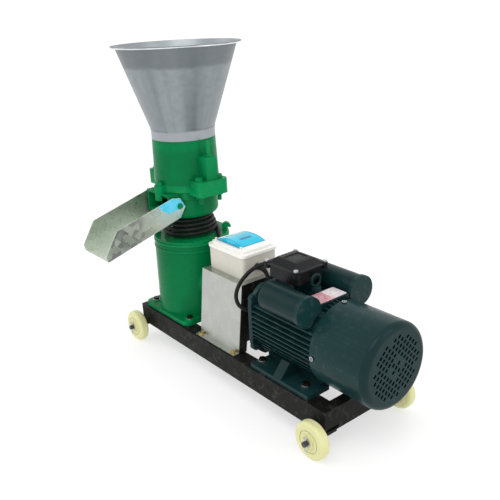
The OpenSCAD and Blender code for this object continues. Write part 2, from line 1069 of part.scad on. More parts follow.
// The +X boss's slot for its sliding block, and its screw's bore
module roller_pocket() {
  translate([adjust_at - pocket_in, -slider_w / 2 - running, roller_z - parting - slider_h / 2 - pocket_play])
    cube([pocket_in + slider_l / 2 + pocket_play, slider_w + 2 * running, pocket_h]);
  translate([adjust_at, 0, roller_z - parting])
    cylinder(h = head_h, r = adjust_d / 2 + running);
}

module head_bolts() {
  color(dark_steel)
    mill_at(parting - seat_deep)
      for (p = head_bolt_places)
        translate(p)
          hex_screw(head_bolt_d, p == head_bolt_places[0] ? blind_reach : p.z + bolt_under);
}

module hopper() {
  color(aluminium)
    mill_at(head_top - collar_h)
      rotate_extrude()
        polygon([
          [head_r_high, 0],
          [head_r_high + hopper_t, 0],
          [head_r_high + hopper_t, collar_h],
          [cone_r + hopper_t, collar_h + cone_h - hopper_t],
          [cone_r + rim_w, collar_h + cone_h - hopper_t],
          [cone_r + rim_w, collar_h + cone_h],
          [cone_r, collar_h + cone_h],
          [head_r_high, collar_h + hopper_t],
          [head_r_high - hopper_lap, collar_h + hopper_t],
          [head_r_high - hopper_lap, collar_h],
          [head_r_high, collar_h]
        ]);
}

module chute() {
  color(galvanised)
    placed()
      translate([mill_x, pivot_y, pivot_z])
        rotate([chute_slope, 0, 0])
          chute_sheet();
}

// The chute with its pivot at the origin, running along -Y
module chute_sheet() {
  difference() {
    union() {
      for (side = [-1, 1])
        translate([side > 0 ? chute_w / 2 : -chute_w / 2 - chute_t, 0, 0])
          rotate([90, 0, -90])
            mirror([0, 0, 1])
              linear_extrude(chute_t)
                polygon([for (p = chute_side_shares) [p.x * chute_l, p.y * chute_h]]);
      translate([-chute_w / 2 - chute_t, -chute_l, -chute_drop_share * chute_h])
        cube([chute_w + 2 * chute_t, chute_l - chute_floor_start, chute_t]);
    }
    translate([-chute_w, 0, 0])
      rod_x(pivot_r + running, 2 * chute_w);
  }
}

module chute_bolts() {
  color(dark_steel)
    placed()
      for (side = [-1, 1])
        translate([mill_x + side * pivot_end_x, pivot_y, pivot_z])
          rotate([0, side * 90, 0])
            hex_screw(chute_bolt_d, pivot_bolt_l);
}

module die_plate() {
  color(steel)
    mill_at(parting + die_rise - die_t)
      difference() {
        cylinder(h = die_t, r = die_r);
        bore(die_t, main_top_d / 2);
        for (row = [0:len(die_rows) - 1])
          for (i = [1:die_row_holes[row]])
            rotate(i * 360 / die_row_holes[row])
              translate([die_rows[row], 0, 0])
                bore(die_t, die_hole_d / 2);
      }
}

module main_shaft() {
  color(dark_steel)
    mill_at(0) {
      lift(main_low)
        cylinder(h = parting + die_rise - die_t - main_low, r = main_d / 2);
      lift(parting + die_rise - die_t)
        cylinder(h = die_t + cap_nut_h / 2, r = main_top_d / 2);
      lift(parting + die_rise)
        cylinder(h = cap_nut_h, r = cap_nut_r, $fn = 6);
    }
}

module crown_gear() {
  color(steel)
    mill_at(axis_z)
      difference() {
        union() {
          rotate_extrude()
            polygon([
              [0, -pinion_out * cone_ratio - crown_body_t],
              [pinion_out, -pinion_out * cone_ratio - crown_body_t],
              [pinion_out, -pinion_out * cone_ratio - tooth_down],
              [pinion_in, -pinion_in * cone_ratio - tooth_down],
              [crown_hub_r, -pinion_out * cone_ratio - tooth_down],
              [0, -pinion_out * cone_ratio - tooth_down]
            ]);
          lift(-pinion_out * cone_ratio - crown_body_t - crown_hub_h)
            cylinder(h = crown_hub_h, r = crown_hub_r);
          intersection() {
            rotate_extrude()
              polygon([
                [pinion_in, -pinion_in * cone_ratio - tooth_down - overrun],
                [pinion_out, -pinion_out * cone_ratio - tooth_down - overrun],
                [pinion_out, -pinion_out * cone_ratio + tooth_up],
                [pinion_in, -pinion_in * cone_ratio + tooth_up]
              ]);
            for (i = [1:crown_teeth])
              rotate((i - 1 / 2) * 360 / crown_teeth)
                lift(-pinion_out)
                  sector(crown_r + crown_band, 360 / crown_teeth * crown_tooth_share, pinion_out);
          }
        }
        lift(-pinion_out - crown_hub_h)
          cylinder(h = 2 * pinion_out, r = main_d / 2);
      }
}

module pinion_shaft() {
  color(steel)
    mill_at(axis_z) {
      translate([pinion_in, 0, 0])
        rod_x(drive_d / 2, coupling_x - shaft_setback - mill_x - pinion_in);
      rotate([0, 90, 0]) {
        lift(pinion_in)
          cylinder(
            h = crown_band,
            r1 = pinion_in * cone_ratio - tooth_down,
            r2 = pinion_out * cone_ratio - tooth_down
          );
        intersection() {
          lift(pinion_in)
            cylinder(
              h = crown_band,
              r1 = pinion_in * cone_ratio + tooth_up,
              r2 = pinion_out * cone_ratio + tooth_up
            );
          for (i = [1:pinion_teeth])
            rotate(i * 360 / pinion_teeth)
              lift(pinion_in - overrun)
                sector(crown_r, 360 / pinion_teeth * pinion_tooth_share, crown_band + 2 * overrun);
        }
      }
    }
}

// Ball bearing standing on z = 0: two races, grooved on each side
module bearing(r_out, r_in, h) {
  difference() {
    ring(r_out, r_in, h);
    for (z = [-overrun, h - bearing_groove])
      lift(z)
        ring(r_out - bearing_lip, r_in + bearing_lip, bearing_groove + overrun);
  }
}

module main_bearings() {
  color(steel)
    placed()
      for (z = [rail_top + floor_t - main_bearing_sink, column_top - cover_spigot])
        translate([mill_x, 0, z])
          bearing(main_bearing_r, main_d / 2 + running, main_bearing_t);
}

module pinion_bearings() {
  color(steel)
    placed()
      for (x = pinion_bearing_xs)
        translate([mill_x + x, 0, axis_z])
          rotate([0, 90, 0])
            bearing(drive_bearing_r, drive_d / 2 + running, drive_bearing_t);
}

module roller_shaft() {
  color(dark_steel)
    mill_at(roller_z) {
      translate([-adjust_at, 0, 0])
        rod_x(roller_shaft_d / 2, 2 * adjust_at);
      translate([gap - roller_inner_face, 0, 0])
        rod_x(roller_hub_r, 2 * (roller_inner_face - gap));
      for (side = [-1, 1])
        translate([side * adjust_at, 0, -slider_h / 2])
          block(slider_l, slider_w, slider_h);
    }
}

module press_roller(x) {
  color(steel)
    placed()
      translate([mill_x + x, 0, roller_z])
        rotate([0, 90, 0])
          difference() {
            cylinder(h = roller_w, r = roller_r);
            bore(roller_w, roller_shaft_d / 2 + running);
            for (i = [1:roller_grooves])
              rotate((i + 1 / 2) * 360 / roller_grooves)
                translate([roller_r - roller_groove_deep, -roller_groove_w / 2, -overrun])
                  cube([2 * roller_groove_deep, roller_groove_w, roller_w + 2 * overrun]);
          }
}

module adjusting_screws() {
  color(dark_steel)
    placed()
      for (side = [-1, 1])
        translate([mill_x + side * adjust_at, 0, roller_z + slider_h / 2])
          cylinder(h = adjust_top - roller_z - slider_h / 2, r = adjust_d / 2);
}

module lock_nuts() {
  color(green)
    mill_at(parting) {
      for (side = [-1, 1])
        translate([side * adjust_at, 0, boss_low + boss_h])
          hex_nut(adjust_d);
      for (p = shelf_bolts)
        translate([p.x, p.y, -shelf_under - head_share * head_bolt_d])
          hex_nut(head_bolt_d);
    }
}

module hex_nut(d) {
  difference() {
    cylinder(h = head_share * d, r = flats_share * d, $fn = 6);
    lift(-overrun)
      cylinder(h = d, r = d / 2 + running);
  }
}

module scraper() {
  color(steel)
    mill_at(neck_top + bowl_floor + scraper_rise)
      difference() {
        union() {
          cylinder(h = scraper_h, r = scraper_hub_r);
          for (side = [-1, 1])
            translate([side > 0 ? 0 : -scraper_reach, -scraper_t / 2, 0])
              cube([scraper_reach, scraper_t, scraper_h]);
        }
        bore(scraper_h, main_d / 2);
      }
}

// A coupling half along +X: the jaws start at x = 0 and reach forward
module coupling_half(turn) {
  difference() {
    union() {
      translate([-coupling_disc, 0, 0])
        rod_x(coupling_r, coupling_disc);
      translate([-coupling_l, 0, 0])
        rod_x(coupling_r * hub_share, coupling_l);
      rotate([0, 90, 0])
        intersection() {
          ring(coupling_r, coupling_eye, jaw_l - gap);
          for (i = [1:jaws])
            rotate(turn + i * 360 / jaws)
              lift(-overrun)
                sector(2 * coupling_r, jaw_angle, jaw_l + 2 * overrun);
        }
    }
    translate([-coupling_l - overrun, 0, 0])
      rod_x(drive_d / 2, coupling_l - shaft_setback + overrun);
  }
}

module coupling_gear_half() {
  color(dark_steel)
    placed()
      translate([coupling_x, 0, axis_z])
        coupling_half(0);
}

module coupling_motor_half() {
  color(dark_steel)
    placed()
      translate([coupling_x + jaw_l, 0, axis_z])
        mirror([1, 0, 0])
          coupling_half(180 / jaws);
}

module coupling_spider() {
  color("firebrick")
    placed()
      translate([coupling_x + gap, 0, axis_z])
        rotate([0, 90, 0])
          difference() {
            union() {
              cylinder(h = jaw_l - 2 * gap, r = coupling_eye - gap);
              intersection() {
                cylinder(h = jaw_l - 2 * gap, r = coupling_r - gap);
                for (i = [1:2 * jaws])
                  rotate((i + 1 / 2) * 180 / jaws)
                    sector(2 * coupling_r, 180 / jaws - jaw_angle - spider_play, jaw_l - 2 * gap);
              }
            }
            lift(-overrun)
              cylinder(h = jaw_l + overrun, r = spider_bore_r);
          }
}

module guard_cover() {
  color(galvanised)
    placed()
      difference() {
        translate([guard_x, 0, rail_top])
          rotate([90, 0, 90])
            linear_extrude(guard_l)
              polygon([
                [-guard_half_low - guard_foot, 0],
                [-guard_half_low - guard_foot, guard_t],
                [-guard_half_low, guard_t],
                [-guard_half_top, guard_h],
                [guard_half_top, guard_h],
                [guard_half_low, guard_t],
                [guard_half_low + guard_foot, guard_t],
                [guard_half_low + guard_foot, 0],
                [guard_half_low - guard_t, 0],
                [guard_half_top - guard_t, guard_h - guard_t],
                [guard_t - guard_half_top, guard_h - guard_t],
                [guard_t - guard_half_low, 0]
              ]);
        for (x = guard_bolt_xs, side = [-1, 1])
          translate([x, side * guard_bolt_y, rail_top])
            bore(guard_t, guard_bolt_d / 2 + hole_play);
      }
}

module guard_end_frame() {
  color(black)
    placed()
      translate([guard_end_x, 0, rail_top])
        rotate([90, 0, 90])
          linear_extrude(portal_t)
            polygon([
              [-guard_half_low, 0],
              [-guard_half_top, guard_h],
              [guard_half_top, guard_h],
              [guard_half_low, 0],
              [guard_half_low - portal_leg, 0],
              [guard_half_top - portal_leg, guard_h - portal_top],
              [portal_leg - guard_half_top, guard_h - portal_top],
              [portal_leg - guard_half_low, 0]
            ]);
}

module guard_bolts() {
  color(zinc_yellow)
    placed()
      for (x = guard_bolt_xs, side = [-1, 1])
        translate([x, side * guard_bolt_y, rail_top + guard_t])
          hex_screw(guard_bolt_d, guard_t + rail_wall + bolt_tip);
}

module switch_base() {
  color(ivory)
    placed()
      translate([box_x, 0, box_z])
        difference() {
          soft_block(box_l, box_w, box_base_h, box_round);
          lift(box_wall)
            soft_block(box_l - 2 * box_wall, box_w - 2 * box_wall, box_base_h, box_round - box_wall);
          translate([-box_l / 2 - overrun, box_gland_y, box_gland_z])
            rod_x(gland_r, box_wall + 2 * overrun);
          translate([box_l / 2 - box_wall - overrun, lead_gland_y, box_gland_z])
            rod_x(gland_r, box_wall + 2 * overrun);
        }
}

module switch_lid() {
  color(ivory)
    placed()
      translate([box_x, 0, box_z + box_base_h]) {
        difference() {
          union() {
            soft_block(box_l + 2 * lip_out, box_w + 2 * lip_out, lip_t, box_round + lip_out);
            soft_block(box_l - bezel_in, box_w - bezel_in, box_lid_h, box_round);
          }
          lift(-overrun)
            soft_block(
              box_l - bezel_in - 2 * box_wall,
              box_w - bezel_in - 2 * box_wall,
              box_lid_h - box_wall + overrun,
              box_round - box_wall
            );
          translate([window_x, window_y, box_lid_h - box_wall - overrun])
            block(breaker_w + 2 * gap, breaker_nose_w + 2 * gap, box_wall + 2 * overrun);
        }
        for (side = [-1, 1])
          translate([window_x + side * (window_l / 2 + window_lip), window_y - window_w / 2, box_lid_h])
            difference() {
              block(hinge_lug, 2 * hinge_r, 2 * hinge_r);
              translate([-hinge_lug, 0, hinge_r])
                rod_x(hinge_pin_r + running, 2 * hinge_lug);
            }
      }
}

module switch_window() {
  color(cyan)
    placed()
      translate([box_x + window_x, window_y, box_z + box_base_h + box_lid_h + gap]) {
        difference() {
          union() {
            window_solid(window_l, 0);
            translate([0, grip_y, grip_low])
              block(grip_l, grip_w, window_rise - grip_low);
          }
          window_solid(window_l - 2 * window_t, window_t);
        }
        translate([-window_l / 2 - window_lip - hinge_lug / 2, -window_w / 2, hinge_r - gap])
          rod_x(hinge_pin_r, window_l + 2 * window_lip + hinge_lug);
        translate([-window_l / 2, -window_w / 2, hinge_r - gap])
          rod_x(hinge_r - gap, window_l);
      }
}

// The window's curve: a shallow circular segment, thinned by an inset
module window_solid(l, inset) {
  translate([-l / 2, 0, 0])
    rotate([90, 0, 90])
      linear_extrude(l)
        intersection() {
          translate([0, window_rise - window_curve_r])
            circle(window_curve_r - inset, $fn = 180);
          translate([-window_w / 2 + inset, -overrun * sign(inset)])
            square([window_w - 2 * inset, 2 * window_rise]);
        }
}

module breaker() {
  color("whitesmoke")
    placed()
      translate([box_x + window_x, window_y, box_z + box_wall]) {
        difference() {
          union() {
            lift(rail_din_h)
              block(breaker_w, breaker_d, breaker_h);
            lift(rail_din_h)
              block(breaker_w, breaker_nose_w, breaker_h + breaker_nose);
          }
          lift(rail_din_h + breaker_h + breaker_nose - toggle_slot)
            block(toggle_w + 2 * gap, breaker_nose_w - 2 * window_t, toggle_slot + overrun);
        }
        block(breaker_w + 2 * rail_din_h, rail_din_w, rail_din_h);
      }
}

module breaker_toggle() {
  color(cyan)
    placed()
      translate([box_x + window_x, window_y, toggle_z])
        rotate([toggle_tilt, 0, 0]) {
          translate([-toggle_w / 2, 0, 0])
            rod_x(toggle_r, toggle_w);
          block(toggle_w, toggle_t, toggle_l);
        }
}

module cable_glands() {
  color(black)
    placed() {
      translate([term_x - term_l / 2 + term_in + term_wall, term_gland_y, term_gland_z])
        rotate([0, -90, 0])
          gland(term_wall, motor_cord_d);
      translate([box_x + box_l / 2 - box_wall, lead_gland_y, box_z + box_gland_z])
        rotate([0, 90, 0])
          gland(box_wall, motor_cord_d);
      translate([box_x - box_l / 2 + box_wall, box_gland_y, box_z + box_gland_z])
        rotate([0, -90, 0])
          gland(box_wall, cord_d);
    }
}

// A gland through a wall whose inner face is z = 0, pointing outward along +Z
module gland(wall, cord) {
  difference() {
    union() {
      lift(-gland_nut_h)
        cylinder(h = gland_nut_h, r = gland_nut_r, $fn = 6);
      cylinder(h = wall, r = gland_r);
      lift(wall)
        cylinder(h = gland_hex_h, r = gland_nut_r, $fn = 6);
      lift(wall + gland_hex_h)
        cylinder(h = gland_cap_h, r1 = gland_r, r2 = gland_tip_r);
    }
    lift(-gland_nut_h)
      bore(gland_nut_h + wall + gland_hex_h + gland_cap_h, cord / 2 + running);
  }
}

module motor_body() {
  color(teal)
    placed()
      translate([body_x, 0, axis_z])
        difference() {
          union() {
            rod_x(core_r, body_l);
            intersection() {
              rod_x(body_r, body_l);
              union() {
                for (i = [-fins_down:fins_up])
                  translate([0, -body_r, i * fin_pitch - fin_t / 2])
                    cube([body_l, 2 * body_r, fin_t]);
                for (i = [-fins_top:fins_top])
                  translate([0, i * fin_pitch - fin_t / 2, 0])
                    cube([body_l, fin_t, body_r]);
              }
            }
            translate([plate_at, 0, 0])
              block(plate_l + 2 * pad_margin, plate_w + 2 * pad_margin, pad_top);
            translate([term_at, 0, 0])
              block(term_neck_l, term_neck_w, term_base_z - axis_z);
            translate([eye_at, 0, 0])
              cylinder(h = eye_pad_top, r = eye_pad_r);
            for (side = [0, 1])
              mirror([0, side, 0])
                motor_foot();
          }
          translate([-overrun, 0, 0])
            rod_x(core_r - body_wall, body_l + 2 * overrun);
          for (p = motor_bolts)
            translate([p.x - body_x, p.y, -drive_h])
              bore(motor_foot_t, bolt_d / 2 + hole_play);
          translate([term_at, 0, core_r - 2 * body_wall])
            block(term_neck_l - 2 * term_wall, term_neck_w - 2 * term_wall, term_base_z - axis_z);
          translate([eye_at, 0, eye_pad_top - eye_thread])
            cylinder(h = eye_thread + overrun, r = eye_wire);
        }
}

// Motor foot on the +Y side: plate, leg and gusset
module motor_foot() {
  translate([foot_setback, foot_in, -drive_h]) {
    cube([foot_len, foot_out - foot_in, motor_foot_t]);
    cube([foot_leg_l, foot_leg_t, drive_h - foot_in]);
  }
  translate([foot_setback + foot_rib_share * foot_len - rib_t / 2, 0, -drive_h])
    rotate([90, 0, 90])
      linear_extrude(rib_t)
        polygon([
          [foot_in, 0],
          [foot_out, 0],
          [foot_out, motor_foot_t],
          [core_r, rib_top],
          [foot_in, rib_top]
        ]);
}

module front_shield() {
  color(teal)
    placed()
      translate([motor_front, 0, axis_z])
        rotate([90, 0, 90])
          difference() {
            union() {
              linear_extrude(shield_t)
                union() {
                  intersection() {
                    square(2 * shield_half, center = true);
                    circle(shield_r);
                  }
                  for (angle = shield_lug_angles)
                    rotate(angle)
                      translate([shield_lug_at, 0])
                        circle(shield_lug_r);
                }
              lift(-shield_boss_l)
                cylinder(h = shield_boss_l, r = shield_boss_r);
              lift(shield_t)
                cylinder(h = shield_spigot, r = core_r - body_wall);
            }
            lift(shield_t + shield_spigot - motor_bearing_t)
              cylinder(h = motor_bearing_t + overrun, r = drive_bearing_r);
            lift(-shield_boss_l - overrun)
              cylinder(h = shield_t + shield_boss_l + shield_spigot, r = drive_d / 2 + shaft_play);
            lift(-shield_rim)
              ring(shield_ring_out, shield_ring_in, 2 * shield_rim);
            for (angle = shield_lug_angles)
              rotate(angle)
                translate([shield_lug_at, 0, 0])
                  bore(shield_t, screw_d / 2);
          }
}

module rear_shield() {
  color(teal)
    placed()
      translate([body_x + body_l, 0, axis_z])
        rotate([90, 0, 90])
          difference() {
            union() {
              cylinder(h = rear_t, r = fan_cover_r - fan_sheet);
              lift(-shield_spigot)
                cylinder(h = shield_spigot, r = core_r - body_wall);
            }
            lift(-shield_spigot - overrun)
              cylinder(h = motor_bearing_t + overrun, r = drive_bearing_r);
            lift(-shield_spigot)
              bore(rear_t + shield_spigot, drive_d / 2 + shaft_play);
            for (angle = cover_screw_angles)
              rotate([0, 0, angle])
                translate([fan_cover_r - fan_sheet - screw_l, 0, rear_t / 2])
                  rotate([0, 90, 0])
                    cylinder(h = screw_l + overrun, r = screw_d / 2);
          }
}

module stator() {
  color("goldenrod")
    placed()
      translate([body_x + body_l / 2, 0, axis_z]) {
        translate([-stator_l / 2, 0, 0])
          ring_x(core_r - body_wall, stator_in, stator_l);
        for (side = [-1, 1])
          translate([side < 0 ? -stator_l / 2 - winding_l : stator_l / 2, 0, 0])
            ring_x(core_r - body_wall - winding_r, stator_in + gap, winding_l);
      }
}

module rotor() {
  color(steel)
    placed()
      lift(axis_z) {
        translate([coupling_x + jaw_l + shaft_setback, 0, 0])
          rod_x(drive_d / 2, fan_x + fan_l - coupling_x - jaw_l - shaft_setback);
        translate([body_x + body_l / 2 - stator_l / 2, 0, 0])
          rod_x(stator_in - rotor_gap, stator_l);
      }
}

module motor_bearings() {
  color(steel)
    placed()
      for (x = [body_x + shield_spigot - motor_bearing_t, body_x + body_l - shield_spigot])
        translate([x, 0, axis_z])
          rotate([0, 90, 0])
            bearing(drive_bearing_r, drive_d / 2 + running, motor_bearing_t);
}

module cooling_fan() {
  color(black)
    placed()
      translate([fan_x, 0, axis_z])
        rotate([0, 90, 0])
          difference() {
            union() {
              cylinder(h = fan_l, r = fan_hub_r);
              cylinder(h = fan_blade_t, r = fan_r);
              for (i = [1:fan_blades])
                rotate(i * 360 / fan_blades)
                  translate([0, -fan_blade_t / 2, 0])
                    cube([fan_r, fan_blade_t, fan_l]);
            }
            bore(fan_l, drive_d / 2);
          }
}

module fan_cover() {
  color(teal)
    placed()
      translate([fan_end_x - fan_cover_l, 0, axis_z])
        rotate([90, 0, 90])
          difference() {
            cover_shape(fan_cover_r, fan_cover_l, fan_end_r);
            lift(-overrun)
              cover_shape(fan_cover_r - fan_sheet, fan_cover_l - fan_sheet + overrun, fan_end_r - fan_sheet);
            lift(fan_cover_l - fan_sheet - overrun)
              rotate(slot_turn)
                for (p = slot_places)
                  translate([p.x, p.y, 0])
                    block(slot_w, slot_l, fan_sheet + 2 * overrun);
            for (angle = cover_screw_angles)
              rotate(angle)
                lift(fan_lap + rear_t / 2)
                  rotate([0, 90, 0])
                    cylinder(h = fan_cover_r + overrun, r = screw_d / 2 + hole_play);
          }
}

// A drum with a rounded shoulder down to its flat end
module cover_shape(r, l, end_r) {
  rotate_extrude()
    union() {
      square([end_r, l]);
      square([r, l - (r - end_r)]);
      translate([end_r, l - (r - end_r)])
        intersection() {
          circle(r - end_r);
          square(r - end_r);
        }
    }
}

module capacitor_covers() {
  color(teal)
    placed()
      for (side = [0, 1])
        mirror([0, side, 0])
          translate([body_x + cap_at, cap_spacing / 2, axis_z + cap_z])
            difference() {
              union() {
                translate([cap_l, 0, 0])
                  rotate([0, -90, 0])
                    cover_shape(cap_r, cap_l, cap_r - cap_round);
                translate([cap_l - cap_lid_l, 0, 0])
                  rod_x(cap_r + cap_wall, cap_lid_l);
              }
              translate([cap_round, 0, 0])
                rod_x(cap_r - cap_wall, cap_l - cap_round - cap_wall);
              translate([-overrun, -cap_spacing / 2, -cap_z])
                rod_x(body_r, cap_l + 2 * overrun);
            }
}

module terminal_box() {
  color(black)
    placed()
      translate([term_x, 0, term_base_z])
        difference() {
          union() {
            soft_block(term_l - 2 * term_in, term_w - 2 * term_in, term_base_h, term_round);
            for (p = lid_screw_places)
              translate([p.x, p.y, term_base_h - term_lug_h])
                cylinder(h = term_lug_h, r = term_lug_r);
          }
          lift(term_wall)
            soft_block(
              term_l - 2 * term_in - 2 * term_wall,
              term_w - 2 * term_in - 2 * term_wall,
              term_base_h,
              term_round - term_wall
            );
          lift(-overrun)
            block(term_neck_l - 2 * term_wall, term_neck_w - 2 * term_wall, term_base_h);
          translate([-term_l / 2, term_gland_y, term_gland_z - term_base_z])
            rod_x(gland_r, term_l / 2 - term_neck_l / 2);
          for (p = lid_screw_places)
            translate([p.x, p.y, term_base_h - screw_l])
              cylinder(h = screw_l + overrun, r = screw_d / 2);
        }
}

module terminal_lid() {
  color(black)
    placed()
      translate([term_x, 0, term_base_z + term_base_h])
        difference() {
          union() {
            soft_block(term_l, term_w, term_lip, term_round + term_in);
            for (p = lid_screw_places)
              translate([p.x, p.y, 0])
                cylinder(h = term_lug_up, r = term_lug_r);
            intersection() {
              ridge(term_l, term_w);
              rotate(90)
                ridge(term_w, term_l);
            }
          }
          lift(term_lid_h - term_recess)
            soft_block(recess_l, recess_w, 2 * term_recess, term_recess);
          lift(-overrun)
            block(flat_l, flat_w, term_lid_h - term_wall);
          for (p = lid_screw_places)
            translate([p.x, p.y, 0])
              bore(term_lug_up, screw_d / 2);
        }
}

// Two sloping sides of the lid's raised middle
module ridge(l, w) {
  translate([-l / 2, 0, 0])
    rotate([90, 0, 90])
      linear_extrude(l)
        polygon([
          [hip_out - w / 2, 0],
          [w / 2 - hip_out, 0],
          [w / 2 - hip_out - hip_in, term_lid_h],
          [hip_out + hip_in - w / 2, term_lid_h]
        ]);
}

// Round-headed screws of the terminal lid, front shield and fan cover
module motor_screws() {
  color(steel)
    placed() {
      for (p = lid_screw_places)
        translate([term_x + p.x, p.y, term_base_z + term_base_h + term_lug_up])
          round_screw(term_lug_up + screw_l);
      lift(axis_z)
        rotate([90, 0, 90]) {
          for (angle = shield_lug_angles)
            rotate(angle)
              translate([shield_lug_at, 0, motor_front])
                mirror([0, 0, 1])
                  round_screw(screw_l);
          for (angle = cover_screw_angles)
            rotate(angle)
              translate([fan_cover_r, 0, fan_end_x - fan_cover_l + fan_lap + rear_t / 2])
                rotate([0, 90, 0])
                  round_screw(screw_l);
        }
    }
}

module round_screw(reach) {
  lift(-reach)
    cylinder(h = reach, r = screw_d / 2);
  cylinder(h = screw_head_h, r = screw_d);
}

module eye_bolt() {
  color(steel)
    placed()
      translate([eye_x, 0, axis_z + eye_pad_top]) {
        lift(-eye_thread)
          cylinder(h = eye_thread, r = eye_wire);
        cylinder(h = eye_collar, r = eye_collar_r);
        lift(eye_collar + eye_r)
          rotate([90, 0, 90])
            rotate_extrude()
              translate([eye_r, 0])
                circle(eye_wire);
      }
}

module nameplate() {
  color(aluminium)
    placed()
      translate([body_x + plate_at, 0, axis_z + pad_top])
        soft_block(plate_l, plate_w, plate_t, plate_round);
}

function unit(v) = v / norm(v);

// Direction of a route at one of its points
function heading(p, i) = unit(p[min(i + 1, len(p) - 1)] - p[max(i - 1, 0)]);

// The part of v that is square to the direction t, at length 1
function square_to(v, t) = unit(v - (v * t) * t);

// One square direction at each point, carried along the route without twist
function carried(p) = [
  for (
    i = 0, n = square_to([cord_seed_share, cord_seed_share, 1], heading(p, 0));
    i < len(p);
    i = i + 1, n = i < len(p) ? square_to(n, heading(p, i)) : n
  ) n
];

// Smooth curve through a route's points, in steps parts between each two
function smooth(p, steps) = concat([
  for (i = [0:len(p) - 2], k = [0:steps - 1])
    let (
      a = p[max(i - 1, 0)],
      b = p[i],
      c = p[i + 1],
      d = p[min(i + 2, len(p) - 1)],
      s = k / steps
    )
      b + (c - a) * s / 2 + (a - 5 * b / 2 + 2 * c - d / 2) * s * s + (3 * b - a - 3 * c + d) * s * s * s / 2
], [p[len(p) - 1]]);

// An unbroken round cord along a route
module cord(p, r, sides) {
  n = carried(p);
  last = len(p) - 1;
  polyhedron(
    points = [
      for (i = [0:last])
        let (b = cross(heading(p, i), n[i]))
          for (k = [0:sides - 1])
            p[i] + r * (cos(360 * k / sides) * n[i] + sin(360 * k / sides) * b)
    ],
    faces = concat(
      [for (k = [1:sides - 2]) [0, k, k + 1]],
      [for (k = [1:sides - 2]) [last * sides, last * sides + k + 1, last * sides + k]],
      [
        for (i = [0:last - 1], k = [0:sides - 1])
          [i * sides + k, (i + 1) * sides + k, (i + 1) * sides + (k + 1) % sides]
      ],
      [
        for (i = [0:last - 1], k = [0:sides - 1])
          [i * sides + k, (i + 1) * sides + (k + 1) % sides, i * sides + (k + 1) % sides]
      ]
    )
  );
}

function coil_point(s) =
  let (
    angle = coil_start + s * coil_sweep,
    r = coil_r_low + s * (coil_r_high - coil_r_low)
  )
    [mill_x + r * cos(angle), r * sin(angle), coil_z_low + s * (coil_z_high - coil_z_low)];

coil_rings = ceil(coil_sweep / 360 * coil_loop_rings);
coil_turns = [for (i = [0:coil_rings]) coil_point(i / coil_rings)];
coil_in = cord_d * unit(coil_turns[1] - coil_turns[0]);
coil_out = cord_d * unit(coil_turns[coil_rings] - coil_turns[coil_rings - 1]);
coil_entry = coil_turns[0] - coil_in;
coil_exit = coil_turns[coil_rings] + coil_out;
coil_route = concat([coil_entry], coil_turns, [coil_exit]);

// Least gap between the coil's turns
coil_gap = min([
  for (i = [0:coil_rings], j = [i + coil_loop_rings / 2:coil_rings])
    norm(coil_turns[i] - coil_turns[j])
]) - cord_d;
echo(coil_gap = coil_gap);

module mains_cord_coil() {
  color(black)
    placed()
      cord(coil_route, cord_d / 2, coil_sides);
}

module mains_cord_lead() {
  color(black)
    placed()
      cord(
        concat(smooth(lead_points, cord_steps), [coil_entry - coil_in, coil_entry]),
        cord_d / 2,
        cord_sides
      );
}

module mains_cord_tail() {
  color(black)
    placed()
      cord(
        concat([coil_exit, coil_exit + coil_out], smooth(tail_points, cord_steps)),
        cord_d / 2,
        cord_sides
      );
}

module motor_lead() {
  color(black)
    placed()
      cord(smooth(motor_lead_points, cord_steps), motor_cord_d / 2, cord_sides);
}

module mains_plug() {
  color(black)
    placed()
      translate(tail_points[len(tail_points) - 1])
        mirror([0, 0, 1]) {
          cylinder(h = plug_neck_l, r1 = cord_d / 2 + plug_wall, r2 = plug_r * plug_neck_share);
          lift(plug_neck_l)
            cylinder(h = plug_l, r = plug_r);
          for (x = [-1, 1])
            translate([x * plug_pin_x, 0, plug_neck_l])
              cylinder(h = plug_l + plug_pin_l, r = plug_pin_r);
        }
}

side_rails();
cross_members();
wheel_axles();
wheel_at(0, -1);  // wheel_mill_near
wheel_at(0, 1);  // wheel_mill_far
wheel_at(1, -1);  // wheel_motor_near
wheel_at(1, 1);  // wheel_motor_far
axle_retainers();
gear_housing();
foot_bolts();
neck_cover();
discharge_bowl();
press_head();
head_bolts();
lock_nuts();
adjusting_screws();
hopper();
chute();
chute_bolts();
die_plate();
main_shaft();
crown_gear();
pinion_shaft();
main_bearings();
pinion_bearings();
roller_shaft();
press_roller(roller_inner_face);  // roller_motor_side
press_roller(-roller_inner_face - roller_w);  // roller_far_side
scraper();
coupling_gear_half();
coupling_spider();
coupling_motor_half();
guard_cover();
guard_end_frame();
guard_bolts();
switch_base();
switch_lid();
switch_window();
breaker();
breaker_toggle();
motor_body();
front_shield();
rear_shield();
stator();
rotor();
motor_bearings();
cooling_fan();
fan_cover();
terminal_box();
terminal_lid();
motor_screws();
capacitor_covers();
eye_bolt();
nameplate();
cable_glands();
motor_lead();
mains_cord_coil();
mains_cord_lead();
mains_cord_tail();
mains_plug();
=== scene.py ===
import json
import math
import random
import bpy
import bmesh
from mathutils import Matrix, Vector


